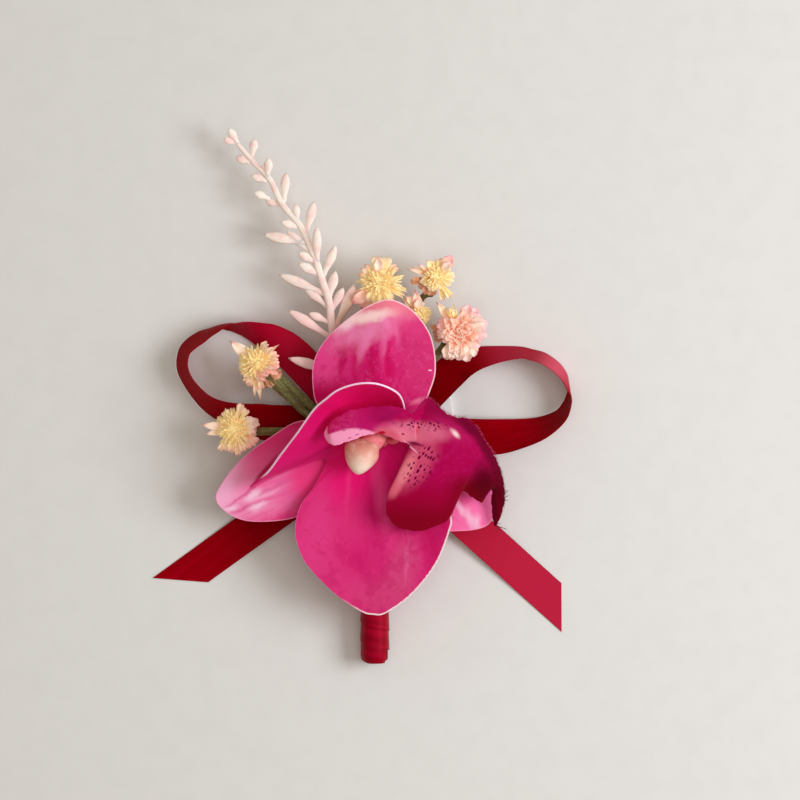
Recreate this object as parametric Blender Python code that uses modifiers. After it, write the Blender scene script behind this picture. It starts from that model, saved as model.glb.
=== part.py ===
"""Orchid corsage that lies on its back.

A pressed moth orchid is pinned on a short stem, in front of a bow tied from one length of satin ribbon.
Six filler heads and a spray of buds stand out behind it, and the four stems end in a wound handle.

Lengths are in millimetres up to the point where a mesh is made, which is in metres, +Z up. Points are
measured from the middle of the orchid, +Y towards its upper sepal and Z from the surface that it lies on.
"""

import math
import random

import bmesh
import bpy
import numpy as np
from mathutils import Vector

MM = 0.001

# The middle of the orchid, from the centre of the corsage's outline
ORCHID_X = 3.29
ORCHID_Y = -11.55

# Thicknesses and clearances
GAP = 0.3
SHEET = 0.8
RIBBON_WIDTH = 9.5
RIBBON_THICKNESS = 0.6
LEFT_TAIL_SLANT = 5.6
RIGHT_TAIL_SLANT = 4.3
SHARP_ANGLE = 50.0

# Heights of the layers behind the orchid
PAD_RADIUS = 21.0
PAD_THICKNESS = 2.0
PAD_CENTRE = (-0.3, 6.0)
PASS_1_Z = 3.5
PASS_2_Z = PASS_1_Z + RIBBON_THICKNESS + GAP
PASS_3_Z = PASS_2_Z + RIBBON_THICKNESS + GAP
THREAD_RADIUS = 0.3
THREAD_HALF_LENGTH = 8.6
THREAD_END_STEPS = 6

# The four stems and the wound handle
STEM_RADIUS = 1.0
STEM_OFFSET = 1.2
HANDLE_TOP = (-20.0, 8.8)
HANDLE_BOTTOM = (-58.6, 4.2)
HANDLE_BORE = 3.0
HANDLE_WALL = 0.65
HANDLE_STEP = 0.3
HANDLE_PITCH = 5.0
HANDLE_END = 0.8
HANDLE_ROUNDING = 1.2
HANDLE_ROUNDING_SHARE = 0.25
HANDLE_SIDES = 16
HANDLE_RINGS = 32
STEM_END_Y = -56.5
STEM_MIDDLE_Y = -40.0

# The orchid's pin and the layers that it goes through
PIN = (1.0, 0.4)
PIN_RADIUS = 1.0
PIN_HOLE = PIN_RADIUS + GAP
HUB_BOTTOM_Z = 11.8
HUB_TOP_Z = 14.6
HUB_FOOT_RADIUS = 1.8
HUB_RADIUS = 4.2
ORCHID_STEM_END = [(1.0, -8.0, 10.2), (1.0, -3.0, 10.3), (1.0, -0.3, 10.8), (1.0, 0.4, 12.0)]
SEPAL_Z = HUB_TOP_Z + GAP + SHEET
PETAL_Z = SEPAL_Z + GAP + SHEET
CUTTER_REACH = 4.0
LIP_RING_Z = PETAL_Z + 2 * GAP
LIP_RING_THICKNESS = 1.0
LIP_RING_RADIUS = 2.8
LIP_FOOT_RADIUS = 0.9
LIP_FOOT = [(3.1, 0.0, 18.2), (4.6, -0.3, 19.7), (6.0, 0.4, 22.1), (7.6, 2.6, 25.3)]
NECK_Z = 20.5
NECK_RADIUS = 1.9
THROAT_RADIUS = 1.7
THROAT = [(1.0, 0.4, 20.5), (-0.5, -0.8, 21.3), (-2.0, -2.4, 21.9)]
BEAD_CENTRE = (-3.7, -4.1, 22.0)
BEAD_HALF = (4.4, 4.9, 3.6)
BEAD_TAPER = 0.12

# The pressed sheets: the rings between middle and rim as shares of the way, the points on each ring,
# and the outline as x, y and how far the rim lies above the sheet's middle
DIE_POWER = 1.4
DIE_STEEP_RISE = 16.0
SEPAL_RINGS = (0.15, 0.4, 0.62, 0.82, 1.0)
SEPAL_POINTS = 60
SEPAL_CENTRE = (0.0, 0.0)
SEPAL_OUTLINE = [
    (13.7, 10.5, -1.6),
    (15.9, 17.7, -2.0),
    (15.2, 25.8, -2.0),
    (12.3, 31.4, -1.4),
    (8.0, 35.4, -0.2),
    (2.6, 36.8, 1.0),
    (-5.1, 33.2, 0.0),
    (-12.5, 26.8, -1.6),
    (-16.1, 20.3, -2.0),
    (-16.1, 12.0, -1.6),
    (-14.5, 6.3, -1.2),
    (-21.1, 4.7, -1.6),
    (-27.0, 1.1, -2.2),
    (-33.3, -3.4, -3.0),
    (-38.0, -8.3, -3.4),
    (-41.1, -13.0, -3.2),
    (-41.7, -15.1, -3.2),
    (-40.6, -17.5, -3.6),
    (-36.4, -20.4, -4.0),
    (-30.3, -21.4, -3.6),
    (-20.6, -20.2, -3.0),
    (-12.0, -15.0, -2.0),
    (-5.0, -9.5, -1.2),
    (2.6, -17.1, -2.0),
    (13.9, -23.2, -3.2),
    (22.9, -23.8, -4.0),
    (28.4, -22.9, -3.8),
    (30.9, -20.6, -3.6),
    (32.9, -14.5, -3.4),
    (29.7, -3.9, -3.0),
    (21.1, 3.7, -2.0),
    (13.6, 6.5, -1.2),
]
PETAL_RINGS = (0.14, 0.34, 0.52, 0.7, 0.86, 1.0)
PETAL_POINTS = 64
PETAL_CENTRE = (-0.8, 3.9)
PETAL_OUTLINE = [
    (7.1, 2.4, 1.0),
    (7.9, 5.8, 3.6),
    (7.5, 9.2, 8.0),
    (6.1, 12.0, 13.0),
    (2.7, 13.9, 18.0),
    (-0.8, 14.7, 21.0),
    (-5.1, 14.4, 21.0),
    (-9.5, 12.9, 20.0),
    (-13.0, 10.7, 18.5),
    (-16.0, 8.1, 16.5),
    (-20.4, 1.9, 13.0),
    (-24.7, -4.2, 9.0),
    (-27.4, -7.9, 6.5),
    (-29.5, -10.0, 4.5),
    (-32.6, -12.5, 1.5),
    (-29.7, -11.4, 0.2),
    (-25.5, -9.5, -0.5),
    (-19.7, -7.1, -0.7),
    (-12.9, -4.9, -0.7),
    (-15.7, -11.6, -0.6),
    (-19.5, -17.2, -0.5),
    (-20.9, -23.4, -0.6),
    (-19.7, -29.0, -0.8),
    (-17.1, -33.5, -1.0),
    (-10.1, -40.5, -1.0),
    (-3.6, -44.9, -1.0),
    (-0.5, -45.7, -0.8),
    (2.9, -45.3, -0.4),
    (9.9, -40.1, 0.6),
    (16.1, -32.2, 1.5),
    (19.6, -23.5, 2.0),
    (20.0, -20.0, 2.0),
    (17.9, -11.1, 1.8),
    (11.1, -2.9, 1.2),
    (8.0, -0.3, 1.2),
]

# The lip: points along its upper edge and, beside each, along its lower edge
LIP_RAILS = [
    ((-13.1, 1.9, 25.5), (-12.9, 0.8, 25.3)),
    ((-11.7, 4.5, 26.0), (-11.2, -1.1, 25.8)),
    ((-9.3, 6.3, 26.5), (-8.4, -0.7, 26.2)),
    ((-6.3, 7.8, 27.0), (-4.7, 0.6, 26.4)),
    ((-1.3, 8.6, 27.0), (-1.1, 1.7, 26.2)),
    ((2.6, 8.9, 26.8), (1.8, 1.8, 25.4)),
    ((6.3, 8.7, 26.4), (4.7, 0.5, 24.2)),
    ((8.7, 7.5, 26.0), (7.1, -0.1, 23.4)),
    ((10.0, 7.0, 25.6), (9.0, -1.0, 22.8)),
    ((11.6, 8.8, 25.2), (9.3, -3.4, 22.4)),
    ((13.8, 10.9, 24.6), (7.0, -7.9, 22.4)),
    ((16.6, 8.9, 24.8), (3.4, -14.6, 22.8)),
    ((18.8, 7.1, 25.0), (3.4, -20.0, 22.6)),
    ((20.8, 6.1, 25.0), (7.0, -23.0, 22.0)),
    ((23.7, 5.4, 24.6), (12.0, -23.6, 21.4)),
    ((26.4, 2.5, 23.6), (17.3, -21.6, 20.8)),
    ((28.4, 0.0, 22.6), (20.4, -18.2, 20.2)),
    ((30.3, -2.6, 21.6), (22.6, -15.6, 19.6)),
    ((31.8, -5.5, 20.6), (25.2, -15.2, 18.8)),
    ((33.2, -8.9, 19.4), (27.6, -16.1, 17.6)),
    ((33.8, -12.4, 18.2), (29.5, -13.2, 17.4)),
    ((34.0, -14.7, 17.2), (30.7, -13.0, 17.0)),
    ((33.7, -17.1, 16.2), (30.7, -15.8, 15.8)),
    ((32.9, -19.9, 15.0), (30.8, -19.0, 14.6)),
    ((32.2, -22.9, 13.6), (31.4, -22.6, 13.4)),
]
LIP_BULGE = [(0, 0.0), (1, 1.0), (8, 0.6), (10, -1.5), (16, -1.5), (18, 1.2), (24, 0.0)]
LIP_SHARES = (0.0, 0.2, 0.4, 0.6, 0.8, 1.0)

# The ribbon's centre line from tail to tail, and how far it has turned over, in degrees
STANDING_Z = 5.0
RIBBON_LINE = [
    (-51.2, -36.9, 0.4, 0),
    (-40.0, -28.8, 0.5, 0),
    (-28.0, -20.2, 1.6, 0),
    (-17.0, -12.3, 2.9, 0),
    (-8.0, -5.8, PASS_1_Z, 0),
    (0.0, 0.0, PASS_1_Z, 0),
    (8.5, 6.9, PASS_1_Z, 0),
    (19.0, 17.1, 4.9, -20),
    (24.5, 20.7, 5.4, -42),
    (30.8, 22.3, STANDING_Z, -60),
    (37.9, 23.0, STANDING_Z, -71),
    (44.2, 21.5, STANDING_Z, -72),
    (48.75, 17.95, STANDING_Z, -75),
    (50.5, 14.0, STANDING_Z, -85),
    (50.7, 12.7, STANDING_Z, -90),
    (50.85, 11.2, STANDING_Z, -98),
    (50.5, 9.5, STANDING_Z, -103),
    (48.6, 6.2, STANDING_Z, -112),
    (43.7, 3.2, 4.9, -128),
    (37.6, 1.6, 4.7, -146),
    (30.8, 0.8, 4.5, -170),
    (21.0, 1.0, PASS_2_Z, -180),
    (9.0, 1.3, PASS_2_Z, -180),
    (0.0, 1.5, PASS_2_Z, -180),
    (-9.0, 2.6, PASS_2_Z, -180),
    (-19.7, 4.2, PASS_2_Z, -180),
    (-28.2, 4.6, 4.4, -185),
    (-34.7, 5.8, 4.6, -217),
    (-40.3, 7.6, 4.8, -236),
    (-44.7, 10.2, STANDING_Z, -246),
    (-48.6, 14.6, STANDING_Z, -252),
    (-50.6, 18.9, STANDING_Z, -252),
    (-50.2, 23.0, STANDING_Z, -251),
    (-48.4, 25.2, STANDING_Z, -249),
    (-43.55, 28.15, STANDING_Z, -256),
    (-41.6, 28.8, STANDING_Z, -262),
    (-39.95, 29.2, STANDING_Z, -270),
    (-37.35, 29.5, STANDING_Z, -282),
    (-34.1, 29.1, STANDING_Z, -294),
    (-30.4, 27.9, STANDING_Z, -309),
    (-26.6, 26.0, 5.3, -330),
    (-20.8, 21.8, 5.7, -350),
    (-9.0, 9.2, PASS_3_Z, -360),
    (0.0, 0.0, PASS_3_Z, -360),
    (8.5, -7.4, PASS_3_Z, -360),
    (17.0, -15.2, 4.2, -360),
    (28.0, -25.0, 2.2, -360),
    (39.0, -35.0, 0.6, -360),
    (49.1, -44.1, 0.4, -360),
]

# Where each loop turns over its middle bows outwards: the place, how far it bows and over what reach
LOOP_BOWS = [((50.7, 12.7), 0.6, 7.0), ((-39.95, 29.2), 1.2, 8.0)]

# The spray's stem and its buds: the tip of each bud and the point where it leaves the stem
SPRAY_STEM = [
    (-2.5, -6.0, 10.2),
    (-6.0, 8.0, 10.2),
    (-9.5, 20.0, 10.0),
    (-11.3, 30.3, 10.0),
    (-12.1, 36.6, 9.8),
    (-14.2, 42.9, 9.4),
    (-16.3, 49.2, 9.0),
    (-19.7, 56.3, 8.6),
    (-24.5, 62.1, 8.2),
    (-27.6, 68.4, 7.8),
    (-31.8, 72.9, 7.4),
    (-36.6, 78.4, 7.0),
]
SPRAY_BUDS = [
    ((-22.9, 21.6), (-8.9, 17.4)),
    ((-17.4, 33.4), (-11.6, 30.6)),
    ((-22.9, 34.2), (-11.2, 26.6)),
    ((-5.2, 41.2), (-10.9, 28.0)),
    ((-8.2, 40.1), (-11.6, 33.5)),
    ((-18.8, 40.3), (-11.8, 34.4)),
    ((-10.3, 44.5), (-12.2, 36.6)),
    ((-25.5, 43.6), (-12.3, 38.0)),
    ((-20.1, 46.4), (-14.2, 43.0)),
    ((-10.2, 51.2), (-14.0, 42.2)),
    ((-15.3, 56.2), (-15.2, 45.4)),
    ((-20.0, 49.2), (-15.4, 46.4)),
    ((-23.3, 55.0), (-16.4, 48.8)),
    ((-29.4, 54.0), (-17.6, 51.4)),
    ((-15.9, 62.8), (-18.4, 53.5)),
    ((-24.7, 57.3), (-19.6, 55.6)),
    ((-20.9, 62.1), (-20.3, 57.0)),
    ((-28.8, 62.8), (-24.7, 61.7)),
    ((-31.8, 65.0), (-27.4, 63.2)),
    ((-23.4, 70.3), (-24.0, 62.1)),
    ((-32.5, 69.5), (-28.0, 67.8)),
    ((-27.9, 74.2), (-28.4, 68.4)),
    ((-36.6, 74.2), (-32.5, 72.8)),
    ((-31.6, 79.1), (-32.4, 74.2)),
    ((-39.7, 79.1), (-36.0, 77.8)),
    ((-38.4, 81.9), (-35.8, 77.4)),
]
SPRAY_TAPER_START_Y = 20.0
SPRAY_TIP_RADIUS = 0.5
BUD_RISE = (-1.0, 2.6)
BUD_RADII = (0.8, 1.05)
BUD_ROOT_RADIUS = 0.45
BUD_TIP_RADIUS = 0.25

# Each filler head: its centre, its radius, the way it faces and whether its petals are salmon
HEADS = [
    ((-32.9, 20.3, 11.5), 7.0, (-0.55, 0.42, 0.72), False),
    ((-37.4, 2.6, 13.0), 6.5, (-0.70, 0.08, 0.71), False),
    ((1.3, 42.0, 10.4), 6.4, (-0.10, 0.75, 0.66), False),
    ((15.3, 43.4, 10.4), 5.8, (0.10, 0.72, 0.68), False),
    ((9.2, 35.0, 8.0), 4.2, (0.05, 0.75, 0.66), False),
    ((22.1, 28.4, 11.5), 7.2, (0.50, 0.42, 0.76), True),
]
CALYX_HEIGHT = 2.0
CALYX_SHARE = 0.3
LEFT_STEM = [(-1.8, -8.0, 7.8), (-3.4, -3.0, 7.8), (-6.0, 2.0, 7.9)]
UPPER_WAY = (-16.3, 8.6, 7.8)
UPPER_RADIUS = 1.3
LOWER_WAY = (-12.0, 1.2, 7.8)
LOWER_RADIUS = 1.1
SECOND_STRAND = [(-8.0, 4.0, 8.2), (-16.8, 7.8, 8.4), (-24.0, 13.0, 9.0)]
SECOND_RADIUS = 0.8
RIGHT_STEM = [(3.0, -6.0, 7.8), (6.0, 8.0, 8.0), (8.0, 20.0, 8.2)]
UP_WAY = (4.5, 29.0, 8.0)
UP_RIGHT_WAY = (15.0, 31.0, 7.0)

# A head's measures as shares of its radius, its collar of petals and its tuft of needles
HEAD_FOOT = 0.72
CORE_FOOT_RADIUS = 0.18
CORE_RIM_RADIUS = 0.42
COLLAR_BLADES = 9
BLADE_LENGTHS = (0.92, 1.04)
BLADE_HALF_WIDTH = 0.18
BLADE_ROOT = 0.20
BLADE_SINK = 0.30
BLADE_LIFTS = (0.10, 0.30)
DOME_RADIUS = 0.40
DOME_TOP_RADIUS = 0.20
DOME_HEIGHT = 0.26
TUFT_NEEDLES = 18
NEEDLE_START = 0.16
NEEDLE_LENGTHS = (0.58, 0.70)
NEEDLE_RADIUS = 0.11


def colour(red, green, blue):
    """Linear colour of an eight bit one."""
    return tuple((channel / 255 / 12.92) if channel <= 10 else ((channel / 255 + 0.055) / 1.055) ** 2.4
                 for channel in (red, green, blue)) + (1.0,)


def material(name, shade, roughness):
    found = bpy.data.materials.new(name)
    found.use_nodes = True
    surface = found.node_tree.nodes["Principled BSDF"]
    surface.inputs["Base Color"].default_value = shade
    surface.inputs["Roughness"].default_value = roughness
    surface.inputs["Metallic"].default_value = 0.0
    found.diffuse_color = shade
    return found


def smooth_through(points, steps, closed=False):
    """Points along a smooth curve through the given ones, `steps` to each stretch."""
    points = np.array(points, dtype=float)
    count = len(points)
    found = []
    for index in range(count if closed else count - 1):
        near = [index - 1, index, index + 1, index + 2]
        near = [place % count if closed else min(max(place, 0), count - 1) for place in near]
        a, b, c, d = points[near]
        for step in range(steps):
            t = step / steps
            found.append(b + 0.5 * t * (c - a + t * (2 * a - 5 * b + 4 * c - d + t * (3 * (b - c) + d - a))))
    if not closed:
        found.append(points[-1])
    return np.array(found)


def even_points(points, count):
    """The same closed curve with its points spread evenly."""
    ring = np.vstack([points, points[:1]])
    lengths = np.concatenate([[0], np.cumsum(np.linalg.norm(np.diff(ring[:, :2], axis=0), axis=1))])
    places = np.linspace(0, lengths[-1], count, endpoint=False)
    return np.column_stack([np.interp(places, lengths, column) for column in ring.T])


def new_object(name, mesh, collection, skin=None):
    found = bpy.data.objects.new(name, mesh)
    collection.objects.link(found)
    if skin:
        mesh.materials.clear()
        mesh.materials.append(skin)
    return found


def from_bmesh(name, shape, collection, skin=None):
    mesh = bpy.data.meshes.new(name)
    shape.to_mesh(mesh)
    shape.free()
    return new_object(name, mesh, collection, skin)


def grid_sheet(rows, closed=False):
    """An open sheet of quads through rows of points, each row as long as the first."""
    shape = bmesh.new()
    lines = [[shape.verts.new(Vector(point) * MM) for point in row] for row in rows]
    width = len(lines[0])
    for line, following in zip(lines, lines[1:]):
        for index in range(width if closed else width - 1):
            after = (index + 1) % width
            shape.faces.new((line[index], following[index], following[after], line[after]))
    return shape, lines


def settle(obj):
    """The object's mesh with its modifiers applied."""
    graph = bpy.context.evaluated_depsgraph_get()
    return bpy.data.meshes.new_from_object(obj.evaluated_get(graph))


def drop(obj):
    data = obj.data
    bpy.data.objects.remove(obj, do_unlink=True)
    if data.users == 0:
        (bpy.data.meshes if isinstance(data, bpy.types.Mesh) else bpy.data.curves).remove(data)


def tube(name, points, radii, collection, resolution=2, closed=False):
    """A round bar along the points, as a mesh."""
    curve = bpy.data.curves.new(name + "_line", "CURVE")
    curve.dimensions = "3D"
    curve.bevel_depth = MM
    curve.bevel_resolution = resolution
    curve.use_fill_caps = not closed
    spline = curve.splines.new("POLY")
    spline.points.add(len(points) - 1)
    spline.use_cyclic_u = closed
    for control, point, radius in zip(spline.points, points, radii):
        control.co = (*(Vector(point) * MM), 1)
        control.radius = radius
    line = bpy.data.objects.new(name + "_line", curve)
    collection.objects.link(line)
    bpy.context.view_layer.update()
    mesh = settle(line)
    shape = bmesh.new()
    shape.from_mesh(mesh)
    bmesh.ops.remove_doubles(shape, verts=shape.verts, dist=MM * 0.01)
    shape.to_mesh(mesh)
    shape.free()
    found = bpy.data.objects.new(name, mesh)
    found.matrix_world = line.matrix_world
    collection.objects.link(found)
    drop(line)
    return found


def bar(name, points, radius, collection, resolution=2):
    return tube(name, points, [radius] * len(points), collection, resolution)


def cone(name, base, top, base_radius, top_radius, collection, sides=24, skin=None):
    """A round post between two points."""
    base, top = Vector(base), Vector(top)
    shape = bmesh.new()
    bmesh.ops.create_cone(
        shape,
        cap_ends=True,
        segments=sides,
        radius1=base_radius * MM,
        radius2=top_radius * MM,
        depth=(top - base).length * MM,
    )
    found = from_bmesh(name, shape, collection, skin)
    found.rotation_mode = "QUATERNION"
    found.rotation_quaternion = Vector((0, 0, 1)).rotation_difference(top - base)
    found.location = (base + top) / 2 * MM
    return found


def ball(name, centre, half, collection, around=16, rings=10):
    shape = bmesh.new()
    bmesh.ops.create_uvsphere(shape, u_segments=around, v_segments=rings, radius=1)
    bmesh.ops.scale(shape, vec=Vector(half) * MM, verts=shape.verts)
    found = from_bmesh(name, shape, collection)
    found.location = Vector(centre) * MM
    return found


def join(name, pieces, collection, skin):
    """One solid of pieces that run into each other."""
    body, others = pieces[0], pieces[1:]
    group = bpy.data.collections.new(name + "_pieces")
    bpy.context.scene.collection.children.link(group)
    for piece in others:
        for holder in list(piece.users_collection):
            holder.objects.unlink(piece)
        group.objects.link(piece)
    union = body.modifiers.new("Union", "BOOLEAN")
    union.operation = "UNION"
    union.operand_type = "COLLECTION"
    union.collection = group
    bpy.context.view_layer.update()
    found = new_object(name, settle(body), collection, skin)
    found.data.transform(body.matrix_world)
    for piece in pieces:
        drop(piece)
    bpy.data.collections.remove(group)
    return found


def cut(obj, cutter):
    """A hole that stays a modifier, with its cutter kept out of the part."""
    cutter.hide_render = True
    cutter.display_type = "WIRE"
    hole = obj.modifiers.new("Hole", "BOOLEAN")
    hole.operation = "DIFFERENCE"
    hole.object = cutter


def thicken(obj, thickness, offset):
    solid = obj.modifiers.new("Thickness", "SOLIDIFY")
    solid.thickness = thickness * MM
    solid.offset = offset
    return obj


def pressed_sheet(name, outline, centre, height, count, rings, collection, skin):
    """A sheet pressed over a die: rings between its middle and its rim, bent up or down on the way."""
    rim = even_points(smooth_through(outline, 6, closed=True), count)
    rows = []
    for share in rings:
        row = []
        for x, y, rise in rim:
            power = DIE_POWER * (1 + min(abs(rise) / DIE_STEEP_RISE, 1))
            row.append((
                centre[0] + share * (x - centre[0]),
                centre[1] + share * (y - centre[1]),
                height + rise * share**power,
            ))
        rows.append(row)
    shape, lines = grid_sheet(rows, closed=True)
    middle = shape.verts.new(Vector((*centre, height)) * MM)
    for index, corner in enumerate(lines[0]):
        shape.faces.new((middle, corner, lines[0][(index + 1) % count]))
    bmesh.ops.triangulate(shape, faces=shape.faces)
    shape.normal_update()
    if sum(face.normal.z for face in shape.faces) < 0:
        bmesh.ops.reverse_faces(shape, faces=shape.faces)
    return thicken(from_bmesh(name, shape, collection, skin), SHEET, -1)


def handle_axis(y):
    """Height of the handle's axis, which rises towards the orchid."""
    share = (y - HANDLE_BOTTOM[0]) / (HANDLE_TOP[0] - HANDLE_BOTTOM[0])
    return HANDLE_BOTTOM[1] + share * (HANDLE_TOP[1] - HANDLE_BOTTOM[1])


def stem_line(across, up, beyond):
    """A stem's route from inside the handle, at its own place in the bundle, and on to the given points."""
    inside = [(across, y, handle_axis(y) + up) for y in (STEM_END_Y, STEM_MIDDLE_Y, HANDLE_TOP[0])]
    return smooth_through(inside + beyond, 2)


def branch(name, start, head, collection, radius=STEM_RADIUS):
    """A stem from the given points to the foot of a head, with its calyx."""
    centre, size, facing = Vector(head[0]), head[1], Vector(head[2]).normalized()
    foot = centre - facing * (HEAD_FOOT * size + GAP)
    low = foot - facing * CALYX_HEIGHT
    below = low - facing * CALYX_HEIGHT
    line = smooth_through(start + [below, low, foot - facing * (CALYX_HEIGHT / 2)], 2)
    stem = bar(name, line, radius, collection, resolution=1)
    calyx = cone(name + "_calyx", low, foot, STEM_RADIUS, CALYX_SHARE * size, collection, sides=8)
    return [stem, calyx]


def collar_blade(turn, size, seed, collection):
    """One notched petal of a head's collar, its root sunk in the core."""
    length = seed.uniform(*BLADE_LENGTHS) * size
    half = BLADE_HALF_WIDTH * size
    lift = seed.uniform(*BLADE_LIFTS) * size
    root = BLADE_ROOT * size
    outline = [
        (root, -0.56 * half),
        (0.62 * length, -half),
        (0.94 * length, -0.72 * half),
        (0.84 * length, 0.0),
        (length, 0.66 * half),
        (0.62 * length, half),
        (root, 0.56 * half),
    ]
    shape = bmesh.new()
    start = -BLADE_SINK * size
    corners = []
    for out, side in outline:
        share = max(out - root, 0) / (size - root)
        corners.append(shape.verts.new(Vector((out, side, start + (lift - start) * share**1.4)) * MM))
    shape.faces.new(corners)
    bmesh.ops.triangulate(shape, faces=shape.faces)
    blade = from_bmesh("blade", shape, collection)
    blade.rotation_euler = (0, 0, turn)
    return thicken(blade, SHEET, 0)


def filler_head(name, head, seed, collection, petal_skin, tuft_skin):
    """A collar of pink petals and, just above it, a yellow tuft. It faces +Z until it is placed."""
    centre, size, facing = head[0], head[1], Vector(head[2])
    blades = [cone("core", (0, 0, -HEAD_FOOT * size), (0, 0, -GAP / 2), CORE_FOOT_RADIUS * size,
                   CORE_RIM_RADIUS * size, collection, sides=10)]
    for index in range(COLLAR_BLADES):
        turn = (index + seed.uniform(-0.15, 0.15)) * math.tau / COLLAR_BLADES
        blades.append(collar_blade(turn, size, seed, collection))
    collar = join(name + "_petals", blades, collection, petal_skin)
    dome_base = GAP / 2
    needles = [cone("dome", (0, 0, dome_base), (0, 0, dome_base + DOME_HEIGHT * size), DOME_RADIUS * size,
                    DOME_TOP_RADIUS * size, collection, sides=9)]
    for index in range(TUFT_NEEDLES):
        height = 0.25 + 0.72 * (index + 0.5) / TUFT_NEEDLES
        turn = index * math.pi * (3 - math.sqrt(5)) + seed.uniform(-0.2, 0.2)
        level = math.sqrt(1 - height**2)
        way = Vector((level * math.cos(turn), level * math.sin(turn), height))
        reach = seed.uniform(*NEEDLE_LENGTHS) * size
        base = Vector((0, 0, dome_base + NEEDLE_START / 2 * size)) + way * NEEDLE_START * size
        tip = Vector((0, 0, dome_base)) + way * reach
        needles.append(cone("needle", base, tip, NEEDLE_RADIUS * size, 0, collection, sides=3))
    tuft = join(name + "_tuft", needles, collection, tuft_skin)
    for piece in (collar, tuft):
        piece.rotation_mode = "QUATERNION"
        piece.rotation_quaternion = Vector((0, 0, 1)).rotation_difference(facing)
        piece.location = Vector(centre) * MM


def back_pad(collection, skin):
    """A round pad that everything lies on."""
    top = (*PAD_CENTRE, PAD_THICKNESS)
    cone("back_pad", (*PAD_CENTRE, 0), top, PAD_RADIUS, PAD_RADIUS, collection, 48, skin)


def loop_bow(x, y):
    """How far the ribbon's middle bows outwards at a point of its line."""
    total = 0.0
    for place, bow, reach in LOOP_BOWS:
        near = max(0.0, 1 - math.dist((x, y), place) / reach)
        total += bow * near * near * (3 - 2 * near)
    return total


def ribbon_bow(collection, skin):
    """One strip from tail to tail. It turns over once round each loop, so both loops curl the same way."""
    line = smooth_through(RIBBON_LINE, 2)
    rows = []
    for index, (x, y, z, turned) in enumerate(line):
        before = line[max(index - 1, 0)]
        after = line[min(index + 1, len(line) - 1)]
        ahead = Vector((after[0] - before[0], after[1] - before[1], 0)).normalized()
        left = Vector((-ahead.y, ahead.x, 0))
        lean = math.radians(turned)
        across = left * math.cos(lean) + Vector((0, 0, math.sin(lean)))
        slant = {0: LEFT_TAIL_SLANT, len(line) - 1: RIGHT_TAIL_SLANT}.get(index, 0)
        middle = Vector((x, y, z))
        edge = across * RIBBON_WIDTH / 2 - ahead * slant
        rows.append([middle + edge, middle + left * loop_bow(x, y), middle - edge])
    shape, _ = grid_sheet(rows)
    bmesh.ops.triangulate(shape, faces=shape.faces)
    thicken(from_bmesh("ribbon_bow", shape, collection, skin), RIBBON_THICKNESS, 0)


def bow_thread(collection, skin):
    """A closed loop of thread round the three passes of ribbon."""
    low = PASS_1_Z - RIBBON_THICKNESS / 2 - GAP - THREAD_RADIUS
    high = PASS_3_Z + RIBBON_THICKNESS / 2 + GAP + THREAD_RADIUS
    middle, half = (low + high) / 2, (high - low) / 2
    straight = THREAD_HALF_LENGTH - half
    points = []
    for side in (1, -1):
        for step in range(THREAD_END_STEPS + 1):
            angle = side * math.pi / 2 - math.pi * step / THREAD_END_STEPS
            points.append((0, side * straight + half * math.cos(angle), middle + half * math.sin(angle)))
    found = tube("bow_thread", points, [THREAD_RADIUS] * len(points), collection, 1, closed=True)
    found.data.materials.append(skin)


def stem_wrap(collection, cutters, skin):
    """The wound handle: each turn of ribbon laps over the one before it."""
    bottom = Vector((0, HANDLE_BOTTOM[0], HANDLE_BOTTOM[1]))
    top = Vector((0, HANDLE_TOP[0], HANDLE_TOP[1]))
    length = (top - bottom).length
    along = (top - bottom).normalized()
    up = Vector((1, 0, 0)).cross(along)
    rows = []
    for ring in range(HANDLE_RINGS + 1):
        place = length * ring / HANDLE_RINGS
        rounded = 1 - HANDLE_ROUNDING_SHARE * max(0.0, 1 - place / HANDLE_ROUNDING) ** 2
        row = []
        for side in range(HANDLE_SIDES):
            angle = math.tau * side / HANDLE_SIDES
            lap = (place / HANDLE_PITCH + side / HANDLE_SIDES) % 1
            radius = (HANDLE_BORE + HANDLE_WALL + HANDLE_STEP * lap) * rounded
            outwards = Vector((math.cos(angle), 0, 0)) + up * math.sin(angle)
            row.append(bottom + along * place + outwards * radius)
        rows.append(row)
    shape, lines = grid_sheet(rows, closed=True)
    shape.faces.new(lines[0])
    shape.faces.new(lines[-1])
    bmesh.ops.triangulate(shape, faces=shape.faces)
    bmesh.ops.recalc_face_normals(shape, faces=shape.faces)
    found = from_bmesh("stem_wrap", shape, collection, skin)
    start, end = bottom + along * HANDLE_END, top + along * CUTTER_REACH
    cut(found, cone("stem_wrap_bore", start, end, HANDLE_BORE, HANDLE_BORE, cutters, 16))


def filler_stems_left(collection, skin):
    """A stem that forks to the two heads on the left, with a second strand beside the upper branch."""
    stem = stem_line(-STEM_OFFSET, -STEM_OFFSET, LEFT_STEM)
    pieces = [bar("stem", stem, STEM_RADIUS, collection)]
    pieces += branch("upper", LEFT_STEM[1:] + [UPPER_WAY], HEADS[0], collection, UPPER_RADIUS)
    pieces += branch("lower", LEFT_STEM[:2] + [LOWER_WAY], HEADS[1], collection, LOWER_RADIUS)
    pieces.append(bar("second", smooth_through(SECOND_STRAND, 3), SECOND_RADIUS, collection, resolution=1))
    join("filler_stems_left", pieces, collection, skin)


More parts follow.
